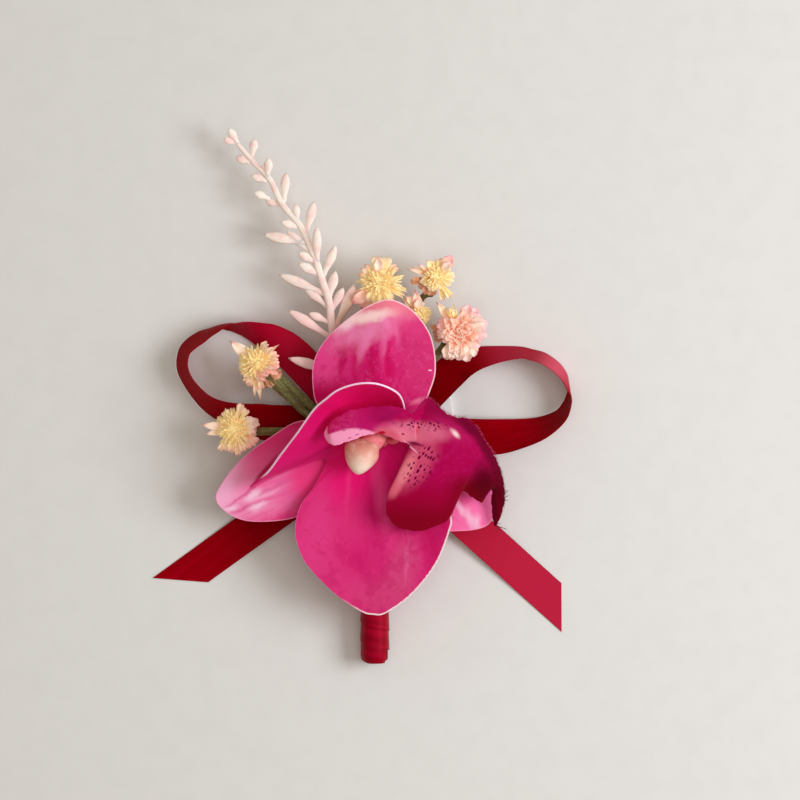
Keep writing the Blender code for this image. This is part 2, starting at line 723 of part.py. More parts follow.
def filler_stems_right(collection, skin):
    """A stem that forks to the three heads above the orchid and the one on its right."""
    stem = stem_line(STEM_OFFSET, -STEM_OFFSET, RIGHT_STEM)
    pieces = [bar("stem", stem, STEM_RADIUS, collection)]
    pieces += branch("up", RIGHT_STEM[1:] + [UP_WAY], HEADS[2], collection)
    pieces += branch("up_right", RIGHT_STEM[1:] + [UP_RIGHT_WAY], HEADS[3], collection)
    pieces += branch("short", RIGHT_STEM[1:], HEADS[4], collection)
    pieces += branch("right", RIGHT_STEM[:2], HEADS[5], collection)
    join("filler_stems_right", pieces, collection, skin)


def orchid_stem(collection, cutters, skin):
    """The orchid's stem turns up into the hub that its pin goes into."""
    line = stem_line(STEM_OFFSET, STEM_OFFSET, ORCHID_STEM_END)
    stem = bar("stem", line, STEM_RADIUS, collection)
    hub = cone("hub", (*PIN, HUB_BOTTOM_Z), (*PIN, HUB_TOP_Z), HUB_FOOT_RADIUS, HUB_RADIUS, collection)
    found = join("orchid_stem", [stem, hub], collection, skin)
    socket_end = HUB_BOTTOM_Z + 2 * GAP
    cut(found, cone("orchid_stem_socket", (*PIN, socket_end), (*PIN, HUB_TOP_Z + 1), PIN_HOLE, PIN_HOLE,
                    cutters, 16))


def pin_hole(cutters):
    """The hole that both pressed sheets have for the pin."""
    low, high = SEPAL_Z - CUTTER_REACH, PETAL_Z + CUTTER_REACH
    return cone("pin_hole", (*PIN, low), (*PIN, high), PIN_HOLE, PIN_HOLE, cutters, 16)


def lip(collection, skin):
    """A printed sheet between two edges, on a ring that the pin goes through."""
    upper = smooth_through([rail[0] for rail in LIP_RAILS], 2)
    lower = smooth_through([rail[1] for rail in LIP_RAILS], 2)
    places, bulges = zip(*LIP_BULGE)
    rows = []
    for index, (high, low) in enumerate(zip(upper, lower)):
        bulge = np.interp(index / 2, places, bulges)
        rows.append([
            Vector(high).lerp(Vector(low), share) + Vector((0, 0, bulge * 4 * share * (1 - share)))
            for share in LIP_SHARES
        ])
    shape, _ = grid_sheet(rows)
    bmesh.ops.triangulate(shape, faces=shape.faces)
    blade = thicken(from_bmesh("blade", shape, collection), SHEET, 0)
    ring_top = LIP_RING_Z + LIP_RING_THICKNESS
    ring = cone("ring", (*PIN, LIP_RING_Z), (*PIN, ring_top), LIP_RING_RADIUS, LIP_RING_RADIUS, collection)
    foot = bar("foot", smooth_through(LIP_FOOT, 3), LIP_FOOT_RADIUS, collection)
    hole = cone("hole", (*PIN, LIP_RING_Z - 1), (*PIN, ring_top + 1), PIN_HOLE, PIN_HOLE, collection, 16)
    cut(ring, hole)
    join("lip", [blade, ring, foot], collection, skin)
    drop(hole)


def column(collection, skin):
    """The bead, its neck and the pin that holds the layers together."""
    bead = ball("bead", BEAD_CENTRE, BEAD_HALF, collection)
    for corner in bead.data.vertices:
        share = corner.co.y / (BEAD_HALF[1] * MM)
        corner.co.x *= 1 + BEAD_TAPER * share
    neck = ball("neck", (*PIN, NECK_Z), [NECK_RADIUS] * 3, collection, 12, 8)
    throat = bar("throat", THROAT, THROAT_RADIUS, collection)
    pin_end = HUB_BOTTOM_Z + 3 * GAP
    pin = cone("pin", (*PIN, pin_end), (*PIN, NECK_Z), PIN_RADIUS, PIN_RADIUS, collection, 12)
    join("column", [bead, neck, throat, pin], collection, skin)


def pink_spray(collection, skin):
    """A thin stem with lance shaped buds, widest past their middle."""
    line = stem_line(-STEM_OFFSET, STEM_OFFSET, SPRAY_STEM)
    lengths = line[:, 1]
    radii = np.interp(lengths, (SPRAY_TAPER_START_Y, SPRAY_STEM[-1][1]), (STEM_RADIUS, SPRAY_TIP_RADIUS))
    pieces = [tube("stem", line, radii, collection, 1)]
    seed = random.Random(7)
    for tip, root in SPRAY_BUDS:
        root_z = float(np.interp(root[1], lengths, line[:, 2]))
        start = Vector((*root, root_z))
        end = Vector((*tip, root_z + seed.uniform(*BUD_RISE)))
        wide = seed.uniform(*BUD_RADII)
        shares = (0.0, 0.35, 0.6, 0.82, 1.0)
        radii = (BUD_ROOT_RADIUS, BUD_ROOT_RADIUS, wide, 0.8 * wide, BUD_TIP_RADIUS)
        points = [start.lerp(end, share) for share in shares]
        pieces.append(tube("bud", points, radii, collection, 0))
    join("pink_spray", pieces, collection, skin)


def main():
    for obj in list(bpy.data.objects):
        bpy.data.objects.remove(obj, do_unlink=True)
    corsage = bpy.data.collections.new("orchid_corsage")
    cutters = bpy.data.collections.new("cutters")
    for collection in (corsage, cutters):
        bpy.context.scene.collection.children.link(collection)

    felt = material("back_pad", colour(236, 233, 226), 0.9)
    satin = material("ribbon", colour(125, 0, 22), 0.38)
    wound_satin = material("stem_wrap", colour(112, 0, 20), 0.4)
    thread = material("bow_thread", colour(60, 10, 16), 0.8)
    green = material("stems", colour(105, 118, 52), 0.6)
    magenta = material("petals", colour(196, 20, 98), 0.6)
    rose = material("sepals", colour(222, 60, 130), 0.6)
    print_red = material("lip", colour(172, 6, 66), 0.6)
    cream = material("column", colour(238, 206, 180), 0.45)
    blush = material("pink_spray", colour(232, 196, 190), 0.6)
    pink = material("head_petals", colour(240, 150, 190), 0.6)
    salmon = material("salmon_head_petals", colour(236, 120, 120), 0.6)
    yellow = material("head_tufts", colour(246, 196, 52), 0.6)

    back_pad(corsage, felt)
    ribbon_bow(corsage, satin)
    bow_thread(corsage, thread)
    stem_wrap(corsage, cutters, wound_satin)
    filler_stems_left(corsage, green)
    filler_stems_right(corsage, green)
    orchid_stem(corsage, cutters, green)
    hole = pin_hole(cutters)
    sepals = pressed_sheet("sepals", SEPAL_OUTLINE, SEPAL_CENTRE, SEPAL_Z, SEPAL_POINTS, SEPAL_RINGS,
                           corsage, rose)
    petals = pressed_sheet("petals", PETAL_OUTLINE, PETAL_CENTRE, PETAL_Z, PETAL_POINTS, PETAL_RINGS,
                           corsage, magenta)
    for sheet in (sepals, petals):
        cut(sheet, hole)
    lip(corsage, print_red)
    column(corsage, cream)
    pink_spray(corsage, blush)
    seed = random.Random(3)
    for number, head in enumerate(HEADS, start=1):
        petal_skin = salmon if head[3] else pink
        filler_head(f"head_{number}", head, seed, corsage, petal_skin, yellow)

    for obj in corsage.objects:
        obj.data.shade_smooth()
        obj.data.set_sharp_from_angle(angle=math.radians(SHARP_ANGLE))
    centre = bpy.data.objects.new("orchid_centre", None)
    corsage.objects.link(centre)
    centre.location = Vector((ORCHID_X, ORCHID_Y, 0)) * MM
    for obj in list(corsage.objects) + list(cutters.objects):
        if obj is not centre:
            obj.parent = centre


main()
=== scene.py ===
# %% [markdown]
# # An orchid corsage, dressed for its portrait
#
# A corsage lies on its back on a pale table: one pressed magenta orchid, a bow of wine red satin ribbon,
# six filler heads, a spray of blush buds and a handle wound with the same ribbon. The solids that carry it
# are loaded as a fixed frame. Each soft or fine piece is then modelled again over its solid, thin where the
# real one is thin, and painted with shader nodes.

# %% Load the frame
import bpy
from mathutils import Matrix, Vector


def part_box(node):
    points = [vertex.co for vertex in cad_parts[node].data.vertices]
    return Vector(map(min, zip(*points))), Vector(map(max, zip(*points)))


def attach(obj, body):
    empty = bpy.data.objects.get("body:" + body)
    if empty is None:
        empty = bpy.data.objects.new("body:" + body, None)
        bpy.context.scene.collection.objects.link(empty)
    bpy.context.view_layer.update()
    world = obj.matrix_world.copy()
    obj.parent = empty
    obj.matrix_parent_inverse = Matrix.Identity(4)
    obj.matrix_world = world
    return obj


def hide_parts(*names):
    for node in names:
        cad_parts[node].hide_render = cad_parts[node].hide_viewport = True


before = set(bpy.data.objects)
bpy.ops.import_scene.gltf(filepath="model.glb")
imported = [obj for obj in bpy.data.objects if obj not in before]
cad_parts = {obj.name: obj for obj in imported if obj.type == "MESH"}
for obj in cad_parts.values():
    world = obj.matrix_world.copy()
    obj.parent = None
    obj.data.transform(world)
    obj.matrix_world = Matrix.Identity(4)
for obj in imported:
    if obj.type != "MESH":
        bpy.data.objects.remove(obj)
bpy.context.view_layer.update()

import math
import random

import bpy
import numpy as np
from mathutils import Matrix, Vector

MM = 0.001
print("nodes in the frame:", ", ".join(sorted(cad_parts)))

# %% [markdown]
# Everything on the corsage was measured in millimetres from the middle of the orchid. The back pad's box
# says where that middle is in the frame, so a point is written as it was measured and moved once, by `at`.

# %% The middle of the orchid
PAD_FROM_ORCHID = Vector((-0.3, 6.0, 0.0))
pad_low, pad_high = (Vector(corner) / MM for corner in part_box("back_pad"))
ORCHID = (pad_low + pad_high) / 2 - PAD_FROM_ORCHID
ORCHID.z = 0.0


def at(x, y, z):
    """A point in metres, from millimetres counted from the middle of the orchid and up from the table."""
    return (Vector((x, y, z)) + ORCHID) * MM


print("middle of the orchid, mm:", [round(number, 2) for number in ORCHID])

# %% [markdown]
# ## Camera, table and light
#
# The corsage is seen from straight above. A long lens far away keeps the tall petals and the flat ribbon at
# one scale. The table is a plain pale board. The light is a wide soft box on the right, which makes the
# soft shadows fall to the left, and a pale room round it fills them.

# %% Camera
VIEW_MIDDLE = (6.58, 10.53)
VIEW_WIDTH = 210.6
CAMERA_HEIGHT = 3000.0
SENSOR = 36.0

lens = bpy.data.cameras.new("overhead_camera")
lens.sensor_width = SENSOR
lens.lens = SENSOR * CAMERA_HEIGHT / VIEW_WIDTH
lens.clip_start, lens.clip_end = 0.1, 20.0
overhead = bpy.data.objects.new("overhead_camera", lens)
bpy.context.scene.collection.objects.link(overhead)
overhead.location = at(*VIEW_MIDDLE, CAMERA_HEIGHT)
bpy.context.scene.camera = overhead
print("lens, mm:", round(lens.lens, 1))

# %% Light
ROOM_TINT, ROOM_STRENGTH = (1.0, 0.933, 0.848, 1.0), 0.37

bpy.context.scene.view_settings.view_transform = "Standard"
room = bpy.data.worlds.new("pale_room")
room.use_nodes = True
room.node_tree.nodes["Background"].inputs["Color"].default_value = ROOM_TINT
room.node_tree.nodes["Background"].inputs["Strength"].default_value = ROOM_STRENGTH
bpy.context.scene.world = room


def soft_box(name, place, aim, side, power, tint):
    """A square lamp that looks at a point."""
    lamp = bpy.data.lights.new(name, "AREA")
    lamp.shape, lamp.size, lamp.energy, lamp.color = "SQUARE", side * MM, power, tint
    holder = bpy.data.objects.new(name, lamp)
    bpy.context.scene.collection.objects.link(holder)
    holder.location = at(*place)
    holder.rotation_euler = (at(*aim) - at(*place)).to_track_quat("-Z", "Y").to_euler()


soft_box("window_box", (620, 20, 570), (0, 10, 0), 420, 5.0, (0.94, 0.993, 1.1))
soft_box("ceiling_box", (60, -40, 900), (0, 0, 0), 600, 1.5, (1.0, 1.0, 0.98))

# %% [markdown]
# ## Painting with nodes
#
# A printed petal is a base colour with softer colours laid over it, each through a mask. The `Nodes` class
# below holds short ways to build in a node tree: `math` and `vector` do sums, and `band` turns a value into a
# soft edged mask. `Finish` is one material: `over` lays a colour through a mask, and `paint` lays many, one
# after the other. The Principled shader stays in the material itself.

# %% Finishes
def shade(red, green, blue):
    """A colour given from 0 to 255, as the linear light that shaders mix."""
    return tuple(
        part / 255 / 12.92 if part <= 10 else ((part / 255 + 0.055) / 1.055) ** 2.4
        for part in (red, green, blue)
    ) + (1.0,)


MIX_SOCKETS = (0, 6, 7)
MIX_RESULT = 2


class Nodes:
    """Short ways to build in one node tree, a material's or a group's."""

    def __init__(self, tree):
        self.tree = tree

    def feed(self, value, socket):
        if isinstance(value, bpy.types.NodeSocket):
            self.tree.links.new(value, socket)
        else:
            socket.default_value = value

    def node(self, kind, inputs, **settings):
        made = self.tree.nodes.new("ShaderNode" + kind)
        for key, value in settings.items():
            setattr(made, key, value)
        for key, value in inputs.items():
            self.feed(value, made.inputs[key])
        return made

    def math(self, operation, first, second=0.0, clamp=False):
        return self.node("Math", {0: first, 1: second}, operation=operation, use_clamp=clamp).outputs[0]

    def vector(self, operation, first, second=(0.0, 0.0, 0.0)):
        """A sum of vectors. SCALE takes a number, and LENGTH gives one."""
        taken = "Scale" if operation == "SCALE" else 1
        made = self.node("VectorMath", {0: first, taken: second}, operation=operation)
        return made.outputs["Value" if operation == "LENGTH" else "Vector"]

    def combine(self, x=0.0, y=0.0, z=0.0):
        return self.node("CombineXYZ", {0: x, 1: y, 2: z}).outputs[0]

    def rotate(self, vector, angle):
        return self.node("VectorRotate", {"Vector": vector, "Angle": angle},
                         rotation_type="Z_AXIS").outputs[0]

    def ramp(self, value, low, high, first=0.0, last=1.0):
        """From first at low to last at high, softly."""
        ends = {"Value": value, "From Min": low, "From Max": high, "To Min": first, "To Max": last}
        return self.node("MapRange", ends, interpolation_type="SMOOTHSTEP").outputs["Result"]

    def band(self, value, start, end):
        """0 before start and 1 after end; the other way round if end is the smaller."""
        return self.ramp(value, start, end) if start < end else self.ramp(value, end, start, 1.0, 0.0)

    def noise(self, vector, scale, detail=3.0, roughness=0.55, output="Fac"):
        kinds = {"Vector": vector, "Scale": scale, "Detail": detail, "Roughness": roughness}
        return self.node("TexNoise", kinds).outputs[output]


class Finish(Nodes):
    """One material and its Principled shader. Values name the shader's sockets, with _ for a space."""

    def __init__(self, name, roughness=0.6, **values):
        self.material = bpy.data.materials.new(name)
        self.material.use_nodes = True
        super().__init__(self.material.node_tree)
        self.sockets = self.tree.nodes["Principled BSDF"].inputs
        for socket, value in dict(values, Roughness=roughness).items():
            self.sockets[socket.replace("_", " ")].default_value = value

    def group(self, name, **inputs):
        made = self.tree.nodes.new("ShaderNodeGroup")
        made.node_tree = bpy.data.node_groups[name]
        for key, value in inputs.items():
            self.feed(value, made.inputs[key])
        return made.outputs

    def streaks(self, place, fineness, run):
        return self.group("throat_streaks", Place=place, Fineness=fineness, Run=run)["Mask"]

    def place(self, middle=(0, 0, 0)):
        """Millimetres from the middle of the orchid, or from another point on it."""
        where = self.node("TexCoord", {}).outputs["Object"]
        moved = self.node("Mapping",
                          {"Vector": where, "Scale": (1 / MM,) * 3, "Location": -(ORCHID + Vector(middle))})
        return moved.outputs["Vector"]

    def parts(self, vector):
        return tuple(self.node("SeparateXYZ", {0: vector}).outputs)

    def along(self):
        """The piece's own UV map, as its two numbers."""
        return self.parts(self.node("TexCoord", {}).outputs["UV"])[:2]

    def own(self, name):
        """A value that is kept on the piece's points."""
        return self.node("Attribute", {}, attribute_name=name).outputs["Fac"]

    def both(self, first, second):
        return self.math("MULTIPLY", first, second, clamp=True)

    def over(self, under, top, mask):
        """The colour top laid over the colour under, through a mask."""
        mixed = self.node("Mix", {}, data_type="RGBA")
        for value, socket in zip((mask, under, top), MIX_SOCKETS):
            self.feed(value, mixed.inputs[socket])
        return mixed.outputs[MIX_RESULT]

    def spot(self, place, middle, half, turn=0.0, blur=0.3, wobble=1.0, strength=1.0):
        """A soft oval mask, turned by degrees."""
        oval = self.group("soft_spot", Place=place, Middle=(*middle, 0.0), Half=(*half, 1000.0),
                          Turn=math.radians(-turn), Blur=blur, Wobble=wobble)
        return self.both(oval["Mask"], strength)

    def paint(self, tone, place, rows):
        """Colours laid one over the other. A row is a colour and its mask, or a colour and a soft oval."""
        for colour, *mask in rows:
            tone = self.over(tone, shade(*colour), self.spot(place, *mask) if len(mask) > 1 else mask[0])
        return tone

    def brushes(self):
        return self.spot, self.band, self.both, self.over, self.paint

    def relief(self, height, distance, strength=1.0):
        """Small relief in millimetres, seen by the light only."""
        bump = self.node("Bump", {"Height": height, "Strength": strength, "Distance": distance * MM})
        self.feed(bump.outputs["Normal"], self.sockets["Normal"])

    def done(self, colour):
        self.feed(colour, self.sockets["Base Color"])
        return self.material

# %% [markdown]
# ## Effects that several finishes share
#
# Soft ovals of colour, for dye and for painted light and shade, streaks that run out from a petal's throat,
# small dashes and the lines of a satin weave, with the clouds of its painted sheen, come back on many pieces.
# Each is a node group, built once with named sockets, that puts out masks.

# %% A soft oval of colour
VECTOR_SOCKETS = ("Place", "Middle", "Half")


class Effect(Nodes):
    """A node group that puts out masks, with the sockets it takes and gives."""

    def __init__(self, name, takes, gives=("Mask",)):
        super().__init__(bpy.data.node_groups.new(name, "ShaderNodeTree"))
        for titles, way in ((takes, "INPUT"), (gives, "OUTPUT")):
            for title in titles:
                kind = "NodeSocketVector" if title in VECTOR_SOCKETS else "NodeSocketFloat"
                self.tree.interface.new_socket(name=title, in_out=way, socket_type=kind)
        self.takes = self.tree.nodes.new("NodeGroupInput").outputs
        self.gives = self.tree.nodes.new("NodeGroupOutput").inputs


oval = Effect("soft_spot", ["Place", "Middle", "Half", "Turn", "Blur", "Wobble"])
drift = oval.vector("SUBTRACT", oval.noise(oval.takes["Place"], 0.35, 3.0, 0.5, "Color"), (0.5, 0.5, 0.5))
moved = oval.vector("ADD", oval.takes["Place"], oval.vector("SCALE", drift, oval.takes["Wobble"]))
turned = oval.rotate(oval.vector("SUBTRACT", moved, oval.takes["Middle"]), oval.takes["Turn"])
reach = oval.vector("LENGTH", oval.vector("DIVIDE", turned, oval.takes["Half"]))
near, far = (oval.math(way, 1.0, oval.takes["Blur"]) for way in ("SUBTRACT", "ADD"))
oval.feed(oval.ramp(reach, near, far, 1.0, 0.0), oval.gives["Mask"])

# %% Streaks that run out from a throat
rays = Effect("throat_streaks", ["Place", "Fineness", "Run"])
flat = rays.vector("MULTIPLY", rays.takes["Place"], (1.0, 1.0, 0.0))
fanned = rays.vector("SCALE", rays.vector("NORMALIZE", flat), rays.takes["Fineness"])
slow = rays.math("MULTIPLY", rays.vector("LENGTH", flat), rays.takes["Run"])
fibre = rays.noise(rays.vector("ADD", fanned, rays.combine(z=slow)), 1.0, 4.0, 0.6)
rays.feed(rays.ramp(fibre, 0.36, 0.66), rays.gives["Mask"])

# %% Dashes of dark dye
dots = Effect("dye_dashes", ["Place", "Spacing", "Turn", "Slimness", "Size"])
turned = dots.rotate(dots.takes["Place"], dots.takes["Turn"])
drawn = dots.vector("MULTIPLY", turned, dots.combine(1.0, dots.takes["Slimness"]))
spread = {"Vector": dots.vector("SCALE", drawn, dots.takes["Spacing"]), "Scale": 1.0, "Randomness": 0.9}
cells = dots.node("TexVoronoi", spread, voronoi_dimensions="2D").outputs
chance = dots.node("SeparateColor", {0: cells["Color"]}).outputs[0]
rest = dots.math("SUBTRACT", cells["Distance"], dots.math("MULTIPLY", chance, dots.takes["Size"]))
dots.feed(dots.ramp(rest, -0.04, 0.06, 1.0, 0.0), dots.gives["Mask"])

# %% The lines of a satin weave, and the clouds of its painted sheen
yarns = Effect("satin_weave", ["Place", "Across", "Along"], ["Height", "Sheen"])
stretch = yarns.combine(yarns.takes["Across"], yarns.takes["Along"], 1.0)
drawn = yarns.vector("MULTIPLY", yarns.takes["Place"], stretch)
broad = yarns.vector("MULTIPLY", drawn, (0.08, 0.05, 0.0))
for place, title in ((drawn, "Height"), (broad, "Sheen")):
    yarns.feed(yarns.noise(place, 1.0, 2.0, 0.5), yarns.gives[title])
print("shared effects:", [item.name for item in bpy.data.node_groups])

# %% [markdown]
# ## How a thin piece is shaped
#
# Petals, ribbon, stems, needles and buds are all thin skins that follow a line. Each starts as a flat grid
# from the Add menu. Its points are then laid where two numbers say, u across and v along, so the grid's own
# UV map keeps following the piece wherever it bends. Seams are merged and thickness is a modifier.

# %% Shaping helpers
def only(piece):
    """Makes one piece the active and only selected one."""
    bpy.ops.object.select_all(action="DESELECT")
    piece.select_set(True)
    bpy.context.view_layer.objects.active = piece


def edit(piece, *steps):
    """Runs edit mode steps on all of a piece."""
    only(piece)
    bpy.ops.object.mode_set(mode="EDIT")
    bpy.ops.mesh.select_all(action="SELECT")
    for step in steps:
        step()
    bpy.ops.object.mode_set(mode="OBJECT")


def merge():
    bpy.ops.mesh.remove_doubles(threshold=0.002 * MM)


def outward():
    bpy.ops.mesh.normals_make_consistent(inside=False)


def add(shape, name, **settings):
    """One of the Add menu's mesh shapes, with its place applied."""
    bpy.ops.object.select_all(action="DESELECT")
    getattr(bpy.ops.mesh, f"primitive_{shape}_add")(**settings)
    bpy.ops.object.transform_apply(location=True, rotation=True, scale=True)
    piece = bpy.context.object
    piece.name = piece.data.name = name
    return piece


def lay_grid(name, across, along, lay):
    """A grid whose points are laid where lay(u, v) says, in metres."""
    piece = add("grid", name, x_subdivisions=across, y_subdivisions=along, size=1)
    for point in piece.data.vertices:
        point.co = lay(point.co.x + 0.5, point.co.y + 0.5)
    edit(piece, merge)
    return piece


def face_up(piece):
    """Turns a skin over if it faces down."""
    if sum(face.normal.z for face in piece.data.polygons) < 0:
        edit(piece, bpy.ops.mesh.flip_normals)


def apply_all(piece):
    only(piece)
    for modifier in list(piece.modifiers):
        bpy.ops.object.modifier_apply(modifier=modifier.name)


def thicken(piece, thickness, offset=-1.0, back=0, rim=0):
    """Gives a skin its thickness. The back and the rim may take a finish of their own."""
    wall = piece.modifiers.new("thickness", "SOLIDIFY")
    wall.thickness, wall.offset = thickness * MM, offset
    wall.material_offset, wall.material_offset_rim = back, rim
    apply_all(piece)


def smooth(piece, angle=None):
    only(piece)
    if angle is None:
        bpy.ops.object.shade_smooth()
    else:
        bpy.ops.object.shade_smooth_by_angle(angle=math.radians(angle))


def lay_round(name, across, along, lay):
    """A closed grid, smooth and facing outward."""
    piece = lay_grid(name, across, along, lay)
    edit(piece, outward)
    smooth(piece)
    return piece


def join(name, pieces):
    """One piece of several."""
    bpy.ops.object.select_all(action="DESELECT")
    for piece in pieces:
        piece.select_set(True)
    bpy.context.view_layer.objects.active = pieces[0]
    bpy.ops.object.join()
    whole = bpy.context.object
    whole.name = whole.data.name = name
    return whole


def coat(piece, *finishes):
    """Gives a piece its finishes."""
    piece.data.materials.clear()
    for item in finishes:
        piece.data.materials.append(item)


def hand_over(piece, node):
    """Hangs a piece under the root, hides the solid that it stands for, and prints its faces."""
    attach(piece, "root")
    if node:
        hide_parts(node)
    print(piece.name, len(piece.data.polygons), "faces")


def smooth_through(points, steps, closed=False):
    """Points along a smooth curve through the given ones, `steps` to each stretch."""
    points = np.array(points, dtype=float)
    count = len(points)
    found = []
    for index in range(count if closed else count - 1):
        near = [index - 1, index, index + 1, index + 2]
        near = [place % count if closed else min(max(place, 0), count - 1) for place in near]
        a, b, c, d = points[near]
        for step in range(steps):
            t = step / steps
            found.append(b + 0.5 * t * (c - a + t * (2 * a - 5 * b + 4 * c - d + t * (3 * (b - c) + d - a))))
    if not closed:
        found.append(points[-1])
    return np.array(found)


def even_points(points, count):
    """The same closed curve with its points spread evenly."""
    ring = np.vstack([points, points[:1]])
    lengths = np.concatenate([[0], np.cumsum(np.linalg.norm(np.diff(ring[:, :2], axis=0), axis=1))])
    places = np.linspace(0, lengths[-1], count, endpoint=False)
    return np.column_stack([np.interp(places, lengths, column) for column in ring.T])


def on_line(line, share):
    """The point at a share of a line of points."""
    stations = np.linspace(0, 1, len(line))
    return [float(np.interp(share, stations, column)) for column in line.T]


# %% [markdown]
# ## The pressed petals
#
# The orchid's petals are cut from printed foam sheet and pressed over a warm die. Behind lies a piece with
# three lobes, in front one with two. A scalpel cut leaves the sheet's white core bare all round, and that
# fine white line draws every petal. The grid is wrapped round the middle like a fan: u goes round the cut
# line and v goes out to it. The distance from the cut is kept on the points for the paint.

# %% Cut lines
SHEET = 0.45
SEPAL_HEIGHT = 15.7
PETAL_HEIGHT = 16.8
SEPAL_MIDDLE = (0.0, 0.0)
PETAL_MIDDLE = (-0.8, 3.9)
SEPAL_CUT = [
    (13.7, 10.5, -1.6), (15.9, 17.7, -2.0), (15.2, 25.8, -2.0), (12.3, 31.4, -1.4), (8.0, 35.4, -0.2),
    (2.6, 36.8, 1.0), (-5.1, 33.2, 0.0), (-12.5, 26.8, -1.6), (-16.1, 20.3, -2.0), (-16.1, 12.0, -1.6),
    (-14.5, 6.3, -1.2), (-21.1, 4.7, -1.6), (-27.0, 1.1, -2.2), (-33.3, -3.4, -3.0), (-38.0, -8.3, -3.4),
    (-41.1, -13.0, -3.2), (-41.7, -15.1, -3.2), (-40.6, -17.5, -3.6), (-36.4, -20.4, -4.0),
    (-30.3, -21.4, -3.6), (-20.6, -20.2, -3.0), (-12.0, -15.0, -2.0), (-5.0, -9.5, -1.2), (2.6, -17.1, -2.0),
    (13.9, -23.2, -3.2), (22.9, -23.8, -4.0), (28.4, -22.9, -3.8), (30.9, -20.6, -3.6), (32.9, -14.5, -3.4),
    (29.7, -3.9, -3.0), (21.1, 3.7, -2.0), (13.6, 6.5, -1.2),
]
PETAL_CUT = [
    (7.1, 2.4, 1.0), (7.9, 5.8, 3.6), (7.5, 9.2, 8.0), (6.1, 12.0, 13.0), (2.7, 13.9, 18.0),
    (-0.8, 14.7, 21.0), (-5.1, 14.4, 21.0), (-9.5, 12.9, 20.0), (-12.8, 10.45, 18.5), (-15.75, 7.85, 16.5),
    (-20.15, 1.65, 13.0), (-24.7, -4.2, 9.0), (-27.4, -7.9, 6.5), (-29.5, -10.0, 4.5), (-32.6, -12.5, 1.5),
    (-29.7, -11.4, 0.2), (-25.5, -9.5, -0.5), (-19.7, -7.1, -0.7), (-12.9, -4.9, -0.7), (-15.7, -11.6, -0.6),
    (-19.5, -17.2, -0.5), (-20.9, -23.4, -0.6), (-19.7, -29.0, -0.8), (-17.1, -33.5, -1.0),
    (-10.1, -40.5, -1.0), (-3.6, -44.9, -1.0), (-0.5, -45.7, -0.8), (2.9, -45.3, -0.4), (9.9, -40.1, 0.6),
    (16.1, -32.2, 1.5), (19.6, -23.5, 2.0), (20.0, -20.0, 2.0), (17.9, -11.1, 1.8), (11.1, -2.9, 1.2),
    (8.0, -0.3, 1.2),
]

# %% Press the sheets
GENTLE_BEND, FULL_RISE = 1.4, 16


def press_sheet(name, cut, middle, height, around, out):
    """A sheet inside a cut line, bent up or down towards it as the die does."""
    rim = even_points(smooth_through(cut, 6, closed=True), around)
    rim = np.vstack([rim, rim[:1]])

    def lay(u, v):
        x, y, rise = on_line(rim, u)
        power = GENTLE_BEND + GENTLE_BEND * min(abs(rise) / FULL_RISE, 1)
        return at(middle[0] + v * (x - middle[0]), middle[1] + v * (y - middle[1]), height + rise * v**power)

    piece = lay_grid(name, around, out, lay)
    face_up(piece)
    edge = np.array([at(x, y, height + rise) for x, y, rise in smooth_through(cut, 24, closed=True)])
    points = np.array([point.co for point in piece.data.vertices])
    gaps = np.array([np.linalg.norm(edge - point, axis=1).min() / MM for point in points])
    kept = piece.data.attributes.new("from_cut", "FLOAT", "POINT")
    kept.data.foreach_set("value", gaps.astype(np.float32))
    thicken(piece, SHEET, back=1, rim=2)
    smooth(piece, 50)
    return piece


sepals = press_sheet("orchid_sepals", SEPAL_CUT, SEPAL_MIDDLE, SEPAL_HEIGHT, 280, 44)
petals = press_sheet("orchid_petals", PETAL_CUT, PETAL_MIDDLE, PETAL_HEIGHT, 300, 48)
print("sepals and petals pressed", SHEET, "mm thick")

# %% [markdown]
# ### The print on the petals
#
# The print is magenta with streaks that fan out from the throat, deeper in the folds and paler on the lobes.
# The upper sepal has a cream bar below a salmon tip, the left one fades to pale pink, and the right one is
# pale with white flashes. Streaks are noise stretched along the way out, and each lobe's own colours are
# soft ovals laid over them. Some ovals are painted light and shade instead: paler ones where the lip, the
# bead and the cupped petal cast shade, and a dark sliver that is the cupped petal's painted shadow.

# %% Sepal print
def through_light(weight, spread, depth):
    """The light that foam and soft plastic let through, down to a depth in millimetres."""
    return dict(Subsurface_Weight=weight, Subsurface_Radius=spread, Subsurface_Scale=depth * MM)


def deep_print(name, roughness, **values):
    """Foam or fabric with a printed face: its small shine takes the colour of the print."""
    return Finish(name, roughness, Specular_IOR_Level=0.25, Specular_Tint=(1.0, 0.08, 0.3, 1.0), **values)


sepal = deep_print("sepal_print", 0.55)
spot, band, both, over, paint = sepal.brushes()
where = sepal.place()
x, y, _ = sepal.parts(where)
streak = sepal.streaks(where, 9.0, 0.05)
fine = sepal.streaks(where, 22.0, 0.10)
mottle = sepal.noise(where, 0.55, 5.0, 0.7)
smear = sepal.noise(where, 0.3, 4.0, 0.65)

